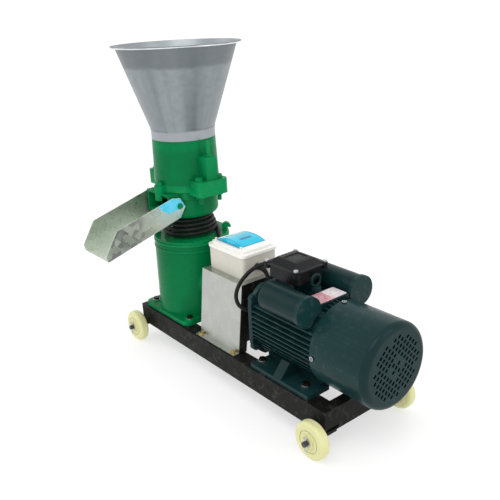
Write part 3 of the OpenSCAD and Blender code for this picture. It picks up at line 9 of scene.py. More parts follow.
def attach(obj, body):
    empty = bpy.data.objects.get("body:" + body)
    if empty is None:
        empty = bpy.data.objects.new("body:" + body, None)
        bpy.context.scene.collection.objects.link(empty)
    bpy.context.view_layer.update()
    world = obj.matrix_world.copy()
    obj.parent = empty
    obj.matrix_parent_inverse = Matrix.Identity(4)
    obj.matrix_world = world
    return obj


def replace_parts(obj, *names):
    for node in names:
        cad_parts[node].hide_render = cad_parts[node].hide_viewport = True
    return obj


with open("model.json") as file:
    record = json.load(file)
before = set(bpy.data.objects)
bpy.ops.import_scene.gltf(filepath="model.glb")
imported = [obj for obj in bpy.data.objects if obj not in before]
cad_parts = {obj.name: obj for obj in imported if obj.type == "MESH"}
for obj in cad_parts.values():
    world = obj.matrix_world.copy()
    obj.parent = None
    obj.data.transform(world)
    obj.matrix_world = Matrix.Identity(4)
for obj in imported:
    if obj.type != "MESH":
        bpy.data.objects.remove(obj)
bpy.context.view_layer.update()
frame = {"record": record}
random.seed(7)

# Machine sizes in millimetres, the same named values as the solids are made from.
# OFFSET takes machine axes (mill to motor along +X) to the row frame.
OFFSET = Vector((-22.0, 70.9347, 0.0))
MM = 0.001
MILL_X = -294.0
AXIS_Z = 232.0
PARTING = 520.0
HEAD_TOP = 698.0
RIM_Z = 936.0
SOFTEN_ANGLE = 35


def at(x, y, z):
    """A machine point, in millimetres, as a row-frame point in metres."""
    return (Vector((x, y, z)) + OFFSET) * MM


def add_mesh(name, verts, faces, smooth=True):
    """A mesh object in the scene, from row-frame points in metres."""
    mesh = bpy.data.meshes.new(name)
    mesh.from_pydata([tuple(v) for v in verts], [], faces)
    mesh.update()
    for poly in mesh.polygons:
        poly.use_smooth = smooth
    piece = bpy.data.objects.new(name, mesh)
    bpy.context.scene.collection.objects.link(piece)
    return piece


def soften(piece, width, segments):
    """Rounds the sharp edges of a piece by a width in millimetres."""
    bevel = piece.modifiers.new("edge", "BEVEL")
    bevel.width = width * MM
    bevel.segments = segments
    bevel.limit_method = "ANGLE"
    bevel.angle_limit = math.radians(SOFTEN_ANGLE)
    bevel.harden_normals = False
    return piece


def catmull(points, steps):
    """A smooth curve through the points, with steps parts between each two."""
    out = []
    last = len(points) - 1
    for i in range(last):
        a, b = points[max(i - 1, 0)], points[i]
        c, d = points[i + 1], points[min(i + 2, last)]
        for k in range(steps):
            s = k / steps
            out.append(
                b + (c - a) * (s / 2)
                + (a - b * 2.5 + c * 2 - d * 0.5) * (s * s)
                + (b * 3 - a - c * 3 + d) * (s * s * s / 2)
            )
    out.append(points[last])
    return out


def tube(name, line, radius, sides=16):
    """A round mesh tube along row-frame points; radius is a number or one for each point, in metres."""
    radii = radius if hasattr(radius, "__len__") else [radius] * len(line)
    verts, faces = [], []
    side = Vector((0.1, 0.1, 1.0))
    for i, point in enumerate(line):
        way = (line[min(i + 1, len(line) - 1)] - line[max(i - 1, 0)]).normalized()
        side = (side - way * side.dot(way)).normalized()
        other = way.cross(side)
        for k in range(sides):
            a = 2 * math.pi * k / sides
            verts.append(point + (side * math.cos(a) + other * math.sin(a)) * radii[i])
    for i in range(len(line) - 1):
        for k in range(sides):
            n = (k + 1) % sides
            faces.append((i * sides + k, i * sides + n, (i + 1) * sides + n, (i + 1) * sides + k))
    faces.append(tuple(range(sides))[::-1])
    faces.append(tuple((len(line) - 1) * sides + k for k in range(sides)))
    return add_mesh(name, verts, faces)


def spin(name, profile, origin, axis="Z", sides=96, closed=False):
    """A turned piece: profile is (radius, height) pairs in millimetres about the axis through origin."""
    verts, faces = [], []
    origin = Vector(origin)
    for r, h in profile:
        for k in range(sides):
            a = 2 * math.pi * k / sides
            c, s = r * math.cos(a), r * math.sin(a)
            local = {"Z": (c, s, h), "X": (h, c, s), "-X": (-h, c, s), "Y": (s, h, c), "-Y": (c, -h, s)}[axis]
            verts.append(at(*(origin + Vector(local))))
    rows = len(profile)
    for i in range(rows if closed else rows - 1):
        j = (i + 1) % rows
        for k in range(sides):
            n = (k + 1) % sides
            faces.append((i * sides + k, i * sides + n, j * sides + n, j * sides + k))
    piece = add_mesh(name, verts, faces)
    bm = bmesh.new()
    bm.from_mesh(piece.data)
    bmesh.ops.remove_doubles(bm, verts=bm.verts, dist=1e-6)
    bmesh.ops.recalc_face_normals(bm, faces=bm.faces)
    bm.to_mesh(piece.data)
    bm.free()
    return piece


def sharp_edges(piece, angle=40):
    """Keeps the corners of a smooth-shaded piece crisp, from an angle in degrees."""
    bm = bmesh.new()
    bm.from_mesh(piece.data)
    for edge in bm.edges:
        if len(edge.link_faces) == 2 and edge.calc_face_angle(0) > math.radians(angle):
            edge.smooth = False
    bm.to_mesh(piece.data)
    bm.free()
    return piece


# Camera, fitted to the photograph's measured corners
CAM_AT = (1358.8, -1056.6, 1030.2)
CAM_AZIMUTH, CAM_ELEVATION, CAM_ROLL = math.radians(52.17), math.radians(20.54), math.radians(2.92)
CAM_FOCAL_PX = 655.5
CAM_CENTRE_PX = (249.5, 249.4)
PHOTO_PX = 500.0
SENSOR_MM = 36.0

ahead = Vector((
    -math.sin(CAM_AZIMUTH) * math.cos(CAM_ELEVATION),
    math.cos(CAM_AZIMUTH) * math.cos(CAM_ELEVATION),
    -math.sin(CAM_ELEVATION),
))
level = ahead.cross(Vector((0, 0, 1))).normalized()
upright = level.cross(ahead)
cam_right = level * math.cos(CAM_ROLL) - upright * math.sin(CAM_ROLL)
cam_up = level * math.sin(CAM_ROLL) + upright * math.cos(CAM_ROLL)
cam_data = bpy.data.cameras.new("camera")
cam = bpy.data.objects.new("camera", cam_data)
bpy.context.scene.collection.objects.link(cam)
cam_data.sensor_width = SENSOR_MM
cam_data.lens = CAM_FOCAL_PX / PHOTO_PX * SENSOR_MM
cam_data.shift_x = (PHOTO_PX / 2 - CAM_CENTRE_PX[0]) / PHOTO_PX
cam_data.shift_y = (CAM_CENTRE_PX[1] - PHOTO_PX / 2) / PHOTO_PX
cam_data.clip_start, cam_data.clip_end = 0.05, 40.0
cam.matrix_world = Matrix.Translation(at(*CAM_AT)) @ Matrix((cam_right, cam_up, -ahead)).transposed().to_4x4()
bpy.context.scene.camera = cam

# Cords, along the same points as their solids
CORD_D, MOTOR_CORD_D = 11.5, 11.0
COIL_START, COIL_SWEEP = 60.0, 360.0 * 4 + 26.0
COIL_R = (83.0, 64.0)
COIL_Z = (377.3, 429.7)
COIL_STEPS = 144
LEAD_POINTS = [
    (-112, 0, 351), (-134, 0, 351), (-142, 1, 352), (-153, 6, 358.5), (-164, 13, 367.5), (-175, 20.5, 375.4),
    (-186, 28.5, 378.4), (-204, 41, 378),
]
TAIL_POINTS = [
    (-322, 66, 430), (-346, 68, 428), (-372, 71, 423), (-394, 74, 410), (-406, 76, 388), (-411, 77, 362),
    (-412, 77, 344), (-412, 77, 332),
]
MOTOR_LEAD_POINTS = [
    (142, -24, 382), (119, -24, 382), (109, -27, 381.5), (90, -42, 374), (76, -66, 358), (67, -92, 330),
    (67, -107, 300), (76, -106, 274), (87, -86, 257), (95, -58, 256), (99, -34, 272), (100, -20, 298),
    (95.5, -14, 321), (86, -12.5, 338), (74, -12.5, 348.5), (62, -12.5, 351), (38, -12.5, 351),
]


def coil_point(share):
    """A machine point on the coil, from the share of its turns."""
    a = math.radians(COIL_START + share * COIL_SWEEP)
    r = COIL_R[0] + share * (COIL_R[1] - COIL_R[0])
    return Vector((MILL_X + r * math.cos(a), r * math.sin(a), COIL_Z[0] + share * (COIL_Z[1] - COIL_Z[0])))


def row_points(points):
    return [at(*p) for p in points]


turns = [coil_point(i / COIL_STEPS) for i in range(COIL_STEPS + 1)]
mains_line = row_points(
    catmull([Vector(p) for p in LEAD_POINTS] + turns + [Vector(p) for p in TAIL_POINTS], 4)
)
motor_line = row_points(catmull([Vector(p) for p in MOTOR_LEAD_POINTS], 6))


mains_cord = tube("mains_cord", mains_line, CORD_D / 2 * MM, 18)
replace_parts(mains_cord, "mains_cord_coil", "mains_cord_lead", "mains_cord_tail")
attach(mains_cord, "base")
motor_cord = tube("motor_cord", motor_line, MOTOR_CORD_D / 2 * MM, 18)
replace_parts(motor_cord, "motor_lead")
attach(motor_cord, "base")

# The moulded plug at the cord's end, with collar ribs, grip ridges and two pins
plug_at = TAIL_POINTS[-1]
plug_profile = [(0, 0), (6.4, 0), (7.0, -2)]
for rib in range(3):
    z = -3 - 4 * rib
    plug_profile += [(7.6 + rib, z), (8.4 + rib, z - 0.8), (8.4 + rib, z - 2), (7.6 + rib, z - 2.8)]
plug_profile += [(13, -16), (17.5, -18), (18.6, -20), (18.9, -23)]
for rib in range(4):
    z = -25 - 5 * rib
    plug_profile += [(18.9, z), (17.9, z - 1), (17.9, z - 2.2), (18.9, z - 3.2)]
plug_profile += [(18.9, -48.4), (18.2, -49.8), (16, -50), (0, -50)]
plug = spin("mains_plug_moulding", plug_profile, plug_at, "Z", 40)
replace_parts(plug, "mains_plug")
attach(plug, "base")
PIN_APART = 9.5
pins = []
for side in (-1, 1):
    pin = spin(
        f"plug_pin_{'a' if side < 0 else 'b'}",
        [(0, -49), (2.35, -49), (2.35, -67), (1.9, -68.6), (1.0, -69), (0, -69)],
        (plug_at[0] + side * PIN_APART, plug_at[1], plug_at[2]), "Z", 24,
    )
    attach(pin, "base")
    pins.append(pin)


# Strain reliefs, tapered ribbed sleeves where each cord leaves its gland
def sleeve(name, line, start, length, thick, thin, ribs):
    """A tapered sleeve round the first part of a cord's line; sizes in millimetres."""
    walked, points, radii = 0.0, [], []
    fine = catmull(line, 6)
    for a, b in zip(fine, fine[1:]):
        if start * MM <= walked <= (start + length) * MM:
            share = (walked / MM - start) / length
            wave = 0.35 * math.sin(share * ribs * 2 * math.pi) if 0.06 < share < 0.94 else 0.0
            points.append(a)
            radii.append((thick + (thin - thick) * share + wave) * MM)
        walked += (b - a).length
    sleeve_piece = tube(name, points, radii, 24)
    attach(sleeve_piece, "base")
    return sleeve_piece


mains_relief = sleeve("mains_strain_relief", mains_line, 21, 30, 8.3, 6.4, 7)
motor_relief = sleeve("motor_strain_relief", motor_line, 20, 28, 8.2, 6.2, 7)
box_relief = sleeve("box_strain_relief", motor_line[::-1], 21, 26, 8.2, 6.2, 6)


# Materials, all procedural and from object coordinates, which are row-frame metres for pieces of the base.
# The pink field of the nameplate starts at PLATE_Y. The hopper's outer face is HOPPER_LOW_R from its axis
# at the foot and grows by HOPPER_FLARE for each unit of height. HOPPER_AXIS_MOVE brings that axis to zero.
# The collar and the band under the rim fade in or out between two heights.
PLATE_Y = (4.0 + 70.9347) * MM
HOPPER_LOW_R = 94.6
HOPPER_FLARE = 80.0 / 236.4
HOPPER_AXIS_MOVE = (0.316, -0.070935, 0.0)
HOPPER_COLLAR_M = (0.694, 0.699)
HOPPER_BAND_M = (0.884, 0.892)
BARE_IRON = [0.42, 0.42, 0.4]


def rgb(code):
    """A colour written as #rrggbb, as linear red, green, blue."""
    values = [int(code[i:i + 2], 16) / 255 for i in (1, 3, 5)]
    return [v / 12.92 if v <= 0.04045 else ((v + 0.055) / 1.055) ** 2.4 for v in values]


class Look:
    """A material's node tree with short calls for the nodes used here."""

    def __init__(self, name):
        self.material = bpy.data.materials.new(name)
        self.material.use_nodes = True
        self.tree = self.material.node_tree
        self.tree.nodes.clear()
        self.out = self.tree.nodes.new("ShaderNodeOutputMaterial")
        self.shader = self.tree.nodes.new("ShaderNodeBsdfPrincipled")
        self.tree.links.new(self.shader.outputs[0], self.out.inputs[0])
        self.place = self.tree.nodes.new("ShaderNodeTexCoord").outputs["Object"]
        self.normal = None

    def set(self, **values):
        for key, value in values.items():
            socket = self.shader.inputs[key.replace("_", " ")]
            socket.default_value = (*value, 1.0) if hasattr(value, "__len__") and len(value) == 3 else value
        return self

    def link(self, a, b):
        self.tree.links.new(a, b)
        return self

    def node(self, kind, **inputs):
        made = self.tree.nodes.new(kind)
        for key, value in inputs.items():
            socket = made.inputs[key.replace("_", " ")]
            if hasattr(value, "is_output"):
                self.tree.links.new(value, socket)
            else:
                socket.default_value = value
        return made

    def stretch(self, scale, turn=(0, 0, 0), move=(0, 0, 0)):
        made = self.node("ShaderNodeMapping", Vector=self.place)
        made.inputs["Scale"].default_value = scale
        made.inputs["Rotation"].default_value = turn
        made.inputs["Location"].default_value = move
        return made.outputs[0]

    def noise(self, scale, detail=3.0, rough=0.55, vector=None, distort=0.0):
        made = self.node("ShaderNodeTexNoise", Vector=vector or self.place)
        made.inputs["Scale"].default_value = scale
        made.inputs["Detail"].default_value = detail
        made.inputs["Roughness"].default_value = rough
        made.inputs["Distortion"].default_value = distort
        return made.outputs["Fac"]

    def cells(self, scale):
        made = self.node("ShaderNodeTexVoronoi", Vector=self.place)
        made.inputs["Scale"].default_value = scale
        made.feature = "F1"
        return made.outputs["Color"]

    def ramp(self, value, *stops):
        made = self.node("ShaderNodeValToRGB", Fac=value)
        band = made.color_ramp
        while len(band.elements) < len(stops):
            band.elements.new(0.5)
        for element, (place, colour) in zip(band.elements, stops):
            element.position = place
            element.color = (*colour, 1.0) if hasattr(colour, "__len__") else (colour, colour, colour, 1.0)
        return made.outputs[0]

    def rise(self, value, low, high, top=1.0):
        """Black up to the place low, then an even rise to the grey top at the place high."""
        return self.ramp(value, (low, 0.0), (high, top))

    def maths(self, kind, a, b=0.0):
        made = self.tree.nodes.new("ShaderNodeMath")
        made.operation = kind
        for socket, value in zip(made.inputs, (a, b)):
            if hasattr(value, "is_output"):
                self.tree.links.new(value, socket)
            else:
                socket.default_value = value
        return made.outputs[0]

    def mix(self, share, a, b, kind="MIX"):
        made = self.tree.nodes.new("ShaderNodeMix")
        made.data_type = "RGBA"
        made.blend_type = kind
        for socket, value in ((made.inputs[0], share), (made.inputs[6], a), (made.inputs[7], b)):
            if hasattr(value, "is_output"):
                self.tree.links.new(value, socket)
            elif hasattr(value, "__len__"):
                socket.default_value = (*value, 1.0)
            else:
                socket.default_value = value
        return made.outputs[2]

    def bump(self, height, distance, strength=1.0):
        made = self.node("ShaderNodeBump", Height=height)
        made.inputs["Distance"].default_value = distance
        made.inputs["Strength"].default_value = strength
        if self.normal:
            self.tree.links.new(self.normal, made.inputs["Normal"])
        self.normal = made.outputs[0]
        self.tree.links.new(self.normal, self.shader.inputs["Normal"])
        return self

    def round_edges(self, radius):
        made = self.tree.nodes.new("ShaderNodeBevel")
        made.samples = 4
        made.inputs["Radius"].default_value = radius
        self.normal = made.outputs[0]
        self.tree.links.new(self.normal, self.shader.inputs["Normal"])
        return self

    def colour(self, value):
        return self.link(value, self.shader.inputs["Base Color"])

    def rough(self, value):
        return self.link(value, self.shader.inputs["Roughness"])

    def edges(self, low, high):
        """White on convex edges."""
        made = self.tree.nodes.new("ShaderNodeNewGeometry")
        return self.rise(made.outputs["Pointiness"], low, high)


def shade(code, factor):
    """A #rrggbb colour made darker or lighter by a factor."""
    return [min(1.0, v * factor) for v in rgb(code)]


def enamel(name, code, rough, coat, sand, wear, edge=0.0012, shine=0.2):
    """Sprayed enamel over a casting or a steel section, with a painted highlight on its convex edges."""
    look = Look(name).round_edges(edge)
    broad = look.noise(9.0, 4.0)
    fine = look.noise(70.0, 3.0)
    base = look.mix(look.rise(broad, 0.35, 0.68), shade(code, 0.86), shade(code, 1.12))
    base = look.mix(look.rise(fine, 0.42, 0.75, 0.5), base, shade(code, 0.9))
    chips = look.maths("MULTIPLY", look.edges(0.53, 0.62), look.rise(look.noise(55.0, 6.0, 0.7), 0.52, 0.62))
    # Painted highlight: convex edges are mixed towards a much lighter copy of the paint colour; the chips
    # below are real wear.
    base = look.mix(look.maths("MULTIPLY", look.edges(0.51, 0.6), 0.4), base, shade(code, 2.2))
    base = look.mix(look.maths("MULTIPLY", chips, wear), base, BARE_IRON)
    look.colour(base)
    look.rough(look.ramp(look.noise(24.0, 5.0, 0.65), (0.3, rough * 0.75), (0.75, rough * 1.35)))
    look.set(Coat_Weight=coat, Coat_Roughness=0.09, Specular_IOR_Level=shine)
    look.bump(look.noise(28.0, 3.0, 0.5), 0.0012, 0.35)
    look.bump(look.noise(420.0, 3.0, 0.6), 0.0003, sand)
    return look.material


def metal(name, code, rough, grain=(6.0, 6.0, 700.0), grain_strength=0.25, blotch=0.12, edge=0.0005):
    """Bare or plated steel with a fine machining or brushing grain along one direction."""
    look = Look(name).round_edges(edge)
    lines = look.noise(1.0, 4.0, 0.6, look.stretch(grain))
    cloud = look.noise(30.0, 4.0, 0.6)
    base = look.mix(look.rise(cloud, 0.3, 0.7), shade(code, 1.0 - blotch), shade(code, 1.0 + blotch))
    base = look.mix(look.rise(lines, 0.35, 0.7, 0.35), base, shade(code, 0.82))
    look.colour(base)
    look.rough(look.mix(look.rise(lines, 0.3, 0.75), [rough * 0.75] * 3, [min(1.0, rough * 1.3)] * 3))
    look.set(Metallic=1.0)
    look.bump(lines, 0.0002, grain_strength)
    look.bump(cloud, 0.0004, 0.12)
    return look.material


def plastic(
    name, code, rough, texture=0.12, texture_scale=900.0, coat=0.0, depth=0.0, edge=0.0006, vary=0.06,
    shine=0.4,
):
    """Moulded plastic or rubber with a fine spark-eroded texture and faint handling marks."""
    look = Look(name).round_edges(edge)
    cloud = look.noise(26.0, 4.0, 0.6)
    base = look.mix(look.rise(cloud, 0.35, 0.7), shade(code, 1.0 - vary), shade(code, 1.0 + vary))
    smears = look.noise(1.0, 5.0, 0.7, look.stretch((60.0, 14.0, 35.0), (0.4, 0.2, 0.9)))
    marks = look.rise(smears, 0.6, 0.78, 0.35)
    base = look.mix(marks, base, shade(code, 1.0 - 2.2 * vary))
    look.colour(base)
    look.rough(look.ramp(look.noise(60.0, 4.0, 0.6), (0.3, rough * 0.8), (0.75, min(1.0, rough * 1.25))))
    look.set(Coat_Weight=coat, Coat_Roughness=0.12, Subsurface_Weight=depth, Subsurface_Scale=0.003,
             Specular_IOR_Level=shine)
    look.bump(look.noise(texture_scale, 2.0, 0.5), 0.00025, texture)
    look.bump(cloud, 0.0006, 0.1)
    return look.material


def galvanised(name, code, spangle, rough, contrast):
    """Zinc-coated sheet with crystals of slightly different greys."""
    look = Look(name).round_edges(0.0005)
    crystals = look.cells(spangle)
    grey = look.node("ShaderNodeSeparateColor", Color=crystals).outputs[0]
    warp = look.noise(12.0, 4.0, 0.6)
    base = look.mix(look.rise(grey, 0.1, 0.9), shade(code, 1 - contrast), shade(code, 1 + contrast))
    base = look.mix(look.rise(warp, 0.3, 0.75, 0.55), base, shade(code, 0.8))
    look.colour(base)
    look.rough(look.mix(look.rise(grey, 0.0, 1.0), [rough * 0.8] * 3, [rough * 1.25] * 3))
    look.set(Metallic=0.9)
    look.bump(look.noise(6.0, 1.0, 0.5), 0.003, 0.2)
    look.bump(grey, 0.00004, 0.1)
    return look.material


def hopper_metal():
    """Brushed sheet: its grain runs round the axis, and a duller stretched band lies under the rim."""
    look = Look("hopper_sheet").round_edges(0.0006)
    apart = look.node("ShaderNodeSeparateXYZ", Vector=look.stretch((1, 1, 1), move=HOPPER_AXIS_MOVE))
    x, y, z = apart.outputs
    turn = look.maths("ARCTAN2", y, x)
    flat = look.node("ShaderNodeCombineXYZ", X=turn, Y=z, Z=0.0).outputs[0]
    along = look.node("ShaderNodeMapping", Vector=flat)
    along.inputs["Scale"].default_value = (5.0, 900.0, 1.0)
    brush = look.noise(1.0, 5.0, 0.65, along.outputs[0])
    down = look.node("ShaderNodeMapping", Vector=flat)
    down.inputs["Scale"].default_value = (2.6, 0.7, 1.0)
    streak = look.noise(1.0, 2.0, 0.5, down.outputs[0], 0.4)
    spots = look.noise(45.0, 6.0, 0.7)
    band = look.rise(look.maths("ADD", z, look.maths("MULTIPLY", streak, 0.02)), *HOPPER_BAND_M)
    base = look.mix(look.rise(streak, 0.3, 0.72), rgb("#7f8689"), rgb("#9ba1a4"))
    base = look.mix(look.rise(spots, 0.45, 0.8, 0.5), base, rgb("#757c80"))
    base = look.mix(look.maths("MULTIPLY", band, 0.7), base, rgb("#6a7073"))
    base = look.mix(look.ramp(z, (HOPPER_COLLAR_M[0], 0.75), (HOPPER_COLLAR_M[1], 0.0)), base, rgb("#a4a8ad"))
    # Painted light: the sheet's inner face, found from its distance inside the outer face, gets an even grey
    # lighter than the outer face.
    flared = look.maths("MULTIPLY", look.maths("SUBTRACT", z, HEAD_TOP * MM), HOPPER_FLARE)
    squares = look.maths("ADD", look.maths("MULTIPLY", x, x), look.maths("MULTIPLY", y, y))
    from_axis = look.maths("SQRT", squares)
    inside = look.maths("SUBTRACT", flared, look.maths("SUBTRACT", from_axis, HOPPER_LOW_R * MM))
    inner_face_light = look.rise(look.maths("MULTIPLY", inside, 1000.0), 0.45, 0.75)
    base = look.mix(inner_face_light, base, rgb("#9aa0a3"))
    look.colour(base)
    uneven = look.maths("ADD", look.maths("MULTIPLY", brush, 0.6), look.maths("MULTIPLY", spots, 0.4))
    look.rough(look.ramp(uneven, (0.3, 0.3), (0.75, 0.52)))
    look.set(Metallic=0.95)
    look.bump(brush, 0.00015, 0.35)
    look.bump(look.noise(14.0, 3.0, 0.5), 0.0025, 0.18)
    return look.material


def blank_plate():
    """A blank printed plate: pale lacquer with a blotchy pink field over its -Y half."""
    look = Look("plate_aluminium").round_edges(0.0005)
    y = look.node("ShaderNodeSeparateXYZ", Vector=look.place).outputs[1]
    field = look.rise(look.maths("MULTIPLY", look.maths("SUBTRACT", PLATE_Y, y), 40.0), 0.0, 0.14)
    blotch = look.ramp(look.noise(190.0, 5.0, 0.7), (0.38, 1.0), (0.6, 0.25))
    pale = look.mix(look.rise(look.noise(60.0, 4.0), 0.3, 0.7), rgb("#c6bcbf"), rgb("#ddd5d7"))
    look.colour(look.mix(look.maths("MULTIPLY", field, blotch), pale, rgb("#b8465c")))
    look.rough(look.ramp(look.noise(120.0, 3.0), (0.3, 0.22), (0.75, 0.4)))
    look.set(Coat_Weight=0.3, Coat_Roughness=0.06)
    look.bump(look.noise(24.0, 3.0), 0.0006, 0.3)
    return look.material


LOOKS = {
    "frame_black": enamel("frame_black", "#111110", 0.48, 0.02, 0.2, 0.05, 0.0015, 0.08),
    "casting_green": enamel("casting_green", "#02703f", 0.28, 0.05, 0.3, 0.04, 0.0022, 0.05),
    "motor_paint": enamel("motor_paint", "#102a2b", 0.32, 0.1, 0.35, 0.05, 0.0009, 0.08),
    "dark_steel": metal("dark_steel", "#55565a", 0.38),
    "zinc_steel": metal("zinc_steel", "#c6c8ca", 0.32),
    "hopper_sheet": hopper_metal(),
    "galvanised_sheet": galvanised("galvanised_sheet", "#b8bbb5", 55.0, 0.34, 0.07),
    "tool_steel": metal("tool_steel", "#94969a", 0.3, (500.0, 6.0, 6.0)),
    "bearing_steel": metal("bearing_steel", "#c9cbcd", 0.16, (6.0, 600.0, 6.0), 0.1),
    "cast_grey": enamel("cast_grey", "#4c4d4f", 0.55, 0.0, 0.6, 0.3),
    "spider_rubber": plastic("spider_rubber", "#a13424", 0.5),
    "yellow_zinc": metal("yellow_zinc", "#c8b57a", 0.34),
    "nylon_cream": plastic("nylon_cream", "#d9d8a0", 0.42, 0.18, 500.0, 0.1, 0.25, 0.001, 0.04),
    "cream_plastic": plastic("cream_plastic", "#cdcabe", 0.42, 0.1, 900.0, 0.1, 0.05, 0.0012, 0.025),
    "white_plastic": plastic("white_plastic", "#efede8", 0.32, 0.05, 900.0, 0.3, 0.05, 0.001, 0.02),
    "blue_toggle": plastic("blue_toggle", "#2a6fb2", 0.3, 0.05, 900.0, 0.3),
    "black_plastic": plastic("black_plastic", "#111114", 0.45, 0.2, 700.0, 0.0, 0.0, 0.0008, 0.1, 0.25),
    "black_rubber": plastic("black_rubber", "#121213", 0.5, 0.15, 1200.0, 0.0, 0.0, 0.0004, 0.15, 0.25),
    "plate_aluminium": blank_plate(),
    "winding_copper": metal("winding_copper", "#a8662f", 0.35, (6.0, 900.0, 900.0), 0.6),
}

window = Look("cyan_window").round_edges(0.0006)
window.colour(window.mix(window.rise(window.noise(16.0, 3.0), 0.4, 0.7), rgb("#0fbfe0"), rgb("#22d2ee")))
window.rough(window.ramp(window.noise(90.0, 3.0), (0.3, 0.05), (0.8, 0.14)))
window.set(
    Transmission_Weight=0.1, IOR=1.49, Coat_Weight=0.12, Coat_Roughness=0.04, Specular_IOR_Level=0.25,
)
window.bump(window.noise(5.0, 2.0), 0.002, 0.1)
LOOKS["cyan_window"] = window.material

film = Look("cyan_film").round_edges(0.0002)
film.colour(film.mix(film.rise(film.noise(40.0, 4.0), 0.35, 0.7), rgb("#3fc3e8"), rgb("#62d8f4")))
film.rough(film.ramp(film.noise(160.0, 3.0), (0.3, 0.12), (0.8, 0.3)))
film.set(Coat_Weight=0.4, Coat_Roughness=0.05)
film.bump(film.noise(70.0, 4.0), 0.0004, 0.4)
LOOKS["cyan_film"] = film.material

# Looks for pieces that differ from the rest of their material slot
LOOKS["chute_sheet"] = galvanised("chute_sheet", "#d0d8cd", 55.0, 0.3, 0.05)
# The rolled rim's look is a much brighter copy of the hopper sheet, a painted highlight.
LOOKS["rim_painted_highlight"] = metal("rim_painted_highlight", "#dfe3e5", 0.22)
LOOKS["bolt_dark"] = metal("bolt_dark", "#3b3733", 0.4)
# Painted shade: a grey for the strip that stands for the shadow line under the switch box's lid.
LOOKS["painted_shade_grey"] = plastic("painted_shade_grey", "#8a877c", 0.6)
LOOKS["window_edge"] = plastic("window_edge", "#1590b8", 0.25, 0.05, 900.0, 0.4)
LOOKS["blue_insert"] = plastic("blue_insert", "#1f6f9c", 0.3, 0.1, 900.0, 0.3)

for entry in frame["record"]["subparts"]:
    shown = bpy.data.objects.get(entry["node"])
    shown.data.materials.clear()
    shown.data.materials.append(LOOKS[entry["material_slot"]])
bpy.data.objects["chute"].data.materials[0] = LOOKS["chute_sheet"]
bpy.data.objects["foot_bolts"].data.materials[0] = LOOKS["bolt_dark"]


def dress(piece, slot, body="base", look=None):
    """Gives a piece its body and its look, which is its slot's own look unless another is named."""
    piece.data.materials.clear()
    piece.data.materials.append(LOOKS[look or slot])
    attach(piece, body)
    return piece


for piece in (mains_cord, motor_cord, mains_relief, motor_relief, box_relief):
    dress(piece, "black_rubber")
dress(plug, "black_plastic")
for pin in pins:
    dress(pin, "zinc_steel")


# Cast details, coves where the turned castings meet their flanges and a bead round the bowl
COVE_BACK, COVE_LIP, COVE_STEPS = 1.2, 0.4, 8


def cove(name, r_in, r_out, low, high):
    """A concave fillet ring round the mill's axis, from r_in at the top to r_out at the foot."""
    profile = [(r_in - COVE_BACK, high)]
    for i in range(COVE_STEPS + 1):
        a = math.pi / 2 * i / COVE_STEPS
        r = r_in + (r_out - r_in) * (1 - math.cos(a))
        z = high + (low - high) * math.sin(a)
        profile.append((r, z))
    profile.append((r_out, low - COVE_LIP))
    profile.append((r_in - COVE_BACK, low - COVE_LIP))
    piece = spin(name, profile, (MILL_X, 0.0, 0.0), "Z", 128, closed=True)
    return dress(piece, "casting_green")


cove("head_flange_fillet", 97.2, 98.9, PARTING + 22.0, PARTING + 26.0)
cove("neck_fillet", 57.2, 63.0, 371.0, 377.0)
bowl_bead = spin(
    "bowl_parting_bead",
    [(89.6, 496.8), (91.2, 497.8), (91.8, 499.0), (91.4, 500.2), (89.6, 500.8)],
    (MILL_X, 0.0, 0.0), "Z", 128, closed=True,
)
dress(bowl_bead, "casting_green")

# Hopper, with a rolled wire edge on the rim, a lapped seam and a ring weld at its collar
RIM_R, RIM_WIRE_R, RIM_WIRE_Z = 183.0, 2.8, RIM_Z - 2.9
wire_angles = [math.radians(a) for a in range(0, 360, 30)]
rim = spin(
    "hopper_rolled_rim",
    [(RIM_R + RIM_WIRE_R * math.cos(a), RIM_WIRE_Z + RIM_WIRE_R * math.sin(a)) for a in wire_angles],
    (MILL_X, 0.0, 0.0), "Z", 160, closed=True,
)
# Painted highlight: the rolled rim takes a much brighter metal than the rest of the hopper sheet.
dress(rim, "hopper_sheet", look="rim_painted_highlight")


def hopper_r(z):
    """The radius of the hopper's outer face at a height, in millimetres."""
    return HOPPER_LOW_R + HOPPER_FLARE * max(0.0, z - HEAD_TOP)


def seam(name, angle, z_low, z_high, radius, half_width, thick, slot):
    """A thin lapped strip that follows a turned sheet down one side; sizes in millimetres."""
    rows = 24
    verts, faces = [], []
    for i in range(rows + 1):
        z = z_low + (z_high - z_low) * i / rows
        r = radius(z)
        for side, out in ((-1, -0.3), (-1, thick), (1, thick * 0.8), (1, -0.3)):
            a = math.radians(angle) + side * half_width / r
            verts.append(at(MILL_X + (r + out) * math.cos(a), (r + out) * math.sin(a), z))
    for i in range(rows):
        for k in range(4):
            n = (k + 1) % 4
            faces.append((i * 4 + k, i * 4 + n, (i + 1) * 4 + n, (i + 1) * 4 + k))
    faces.append((3, 2, 1, 0))
    faces.append(tuple(rows * 4 + k for k in range(4)))
    return dress(sharp_edges(add_mesh(name, verts, faces)), slot)


seam("hopper_seam", 118.0, HEAD_TOP + 2, RIM_Z - 7, hopper_r, 9.0, 1.1, "hopper_sheet")


def weld(name, points, radius, slot, seed=1):
    """A rippled weld bead along machine points, in millimetres."""
    rng = random.Random(seed)
    line, radii = [], []
    for a, b in zip(points, points[1:]):
        a, b = Vector(a), Vector(b)
        steps = max(2, int((b - a).length / 1.6))
        for i in range(steps):
            line.append(a + (b - a) * i / steps)
    line.append(Vector(points[-1]))
    for i, _ in enumerate(line):
        radii.append((radius * (0.82 + 0.16 * math.cos(i * 2.2) + rng.uniform(-0.05, 0.05))) * MM)
    return dress(tube(name, row_points(line), radii, 10), slot)


RING_R, RING_Z = 94.9, HEAD_TOP + 0.6
ring = [
    (MILL_X + RING_R * math.cos(math.radians(a)), RING_R * math.sin(math.radians(a)), RING_Z)
    for a in range(0, 361, 4)
]
weld("hopper_ring_weld", ring, 1.3, "hopper_sheet")


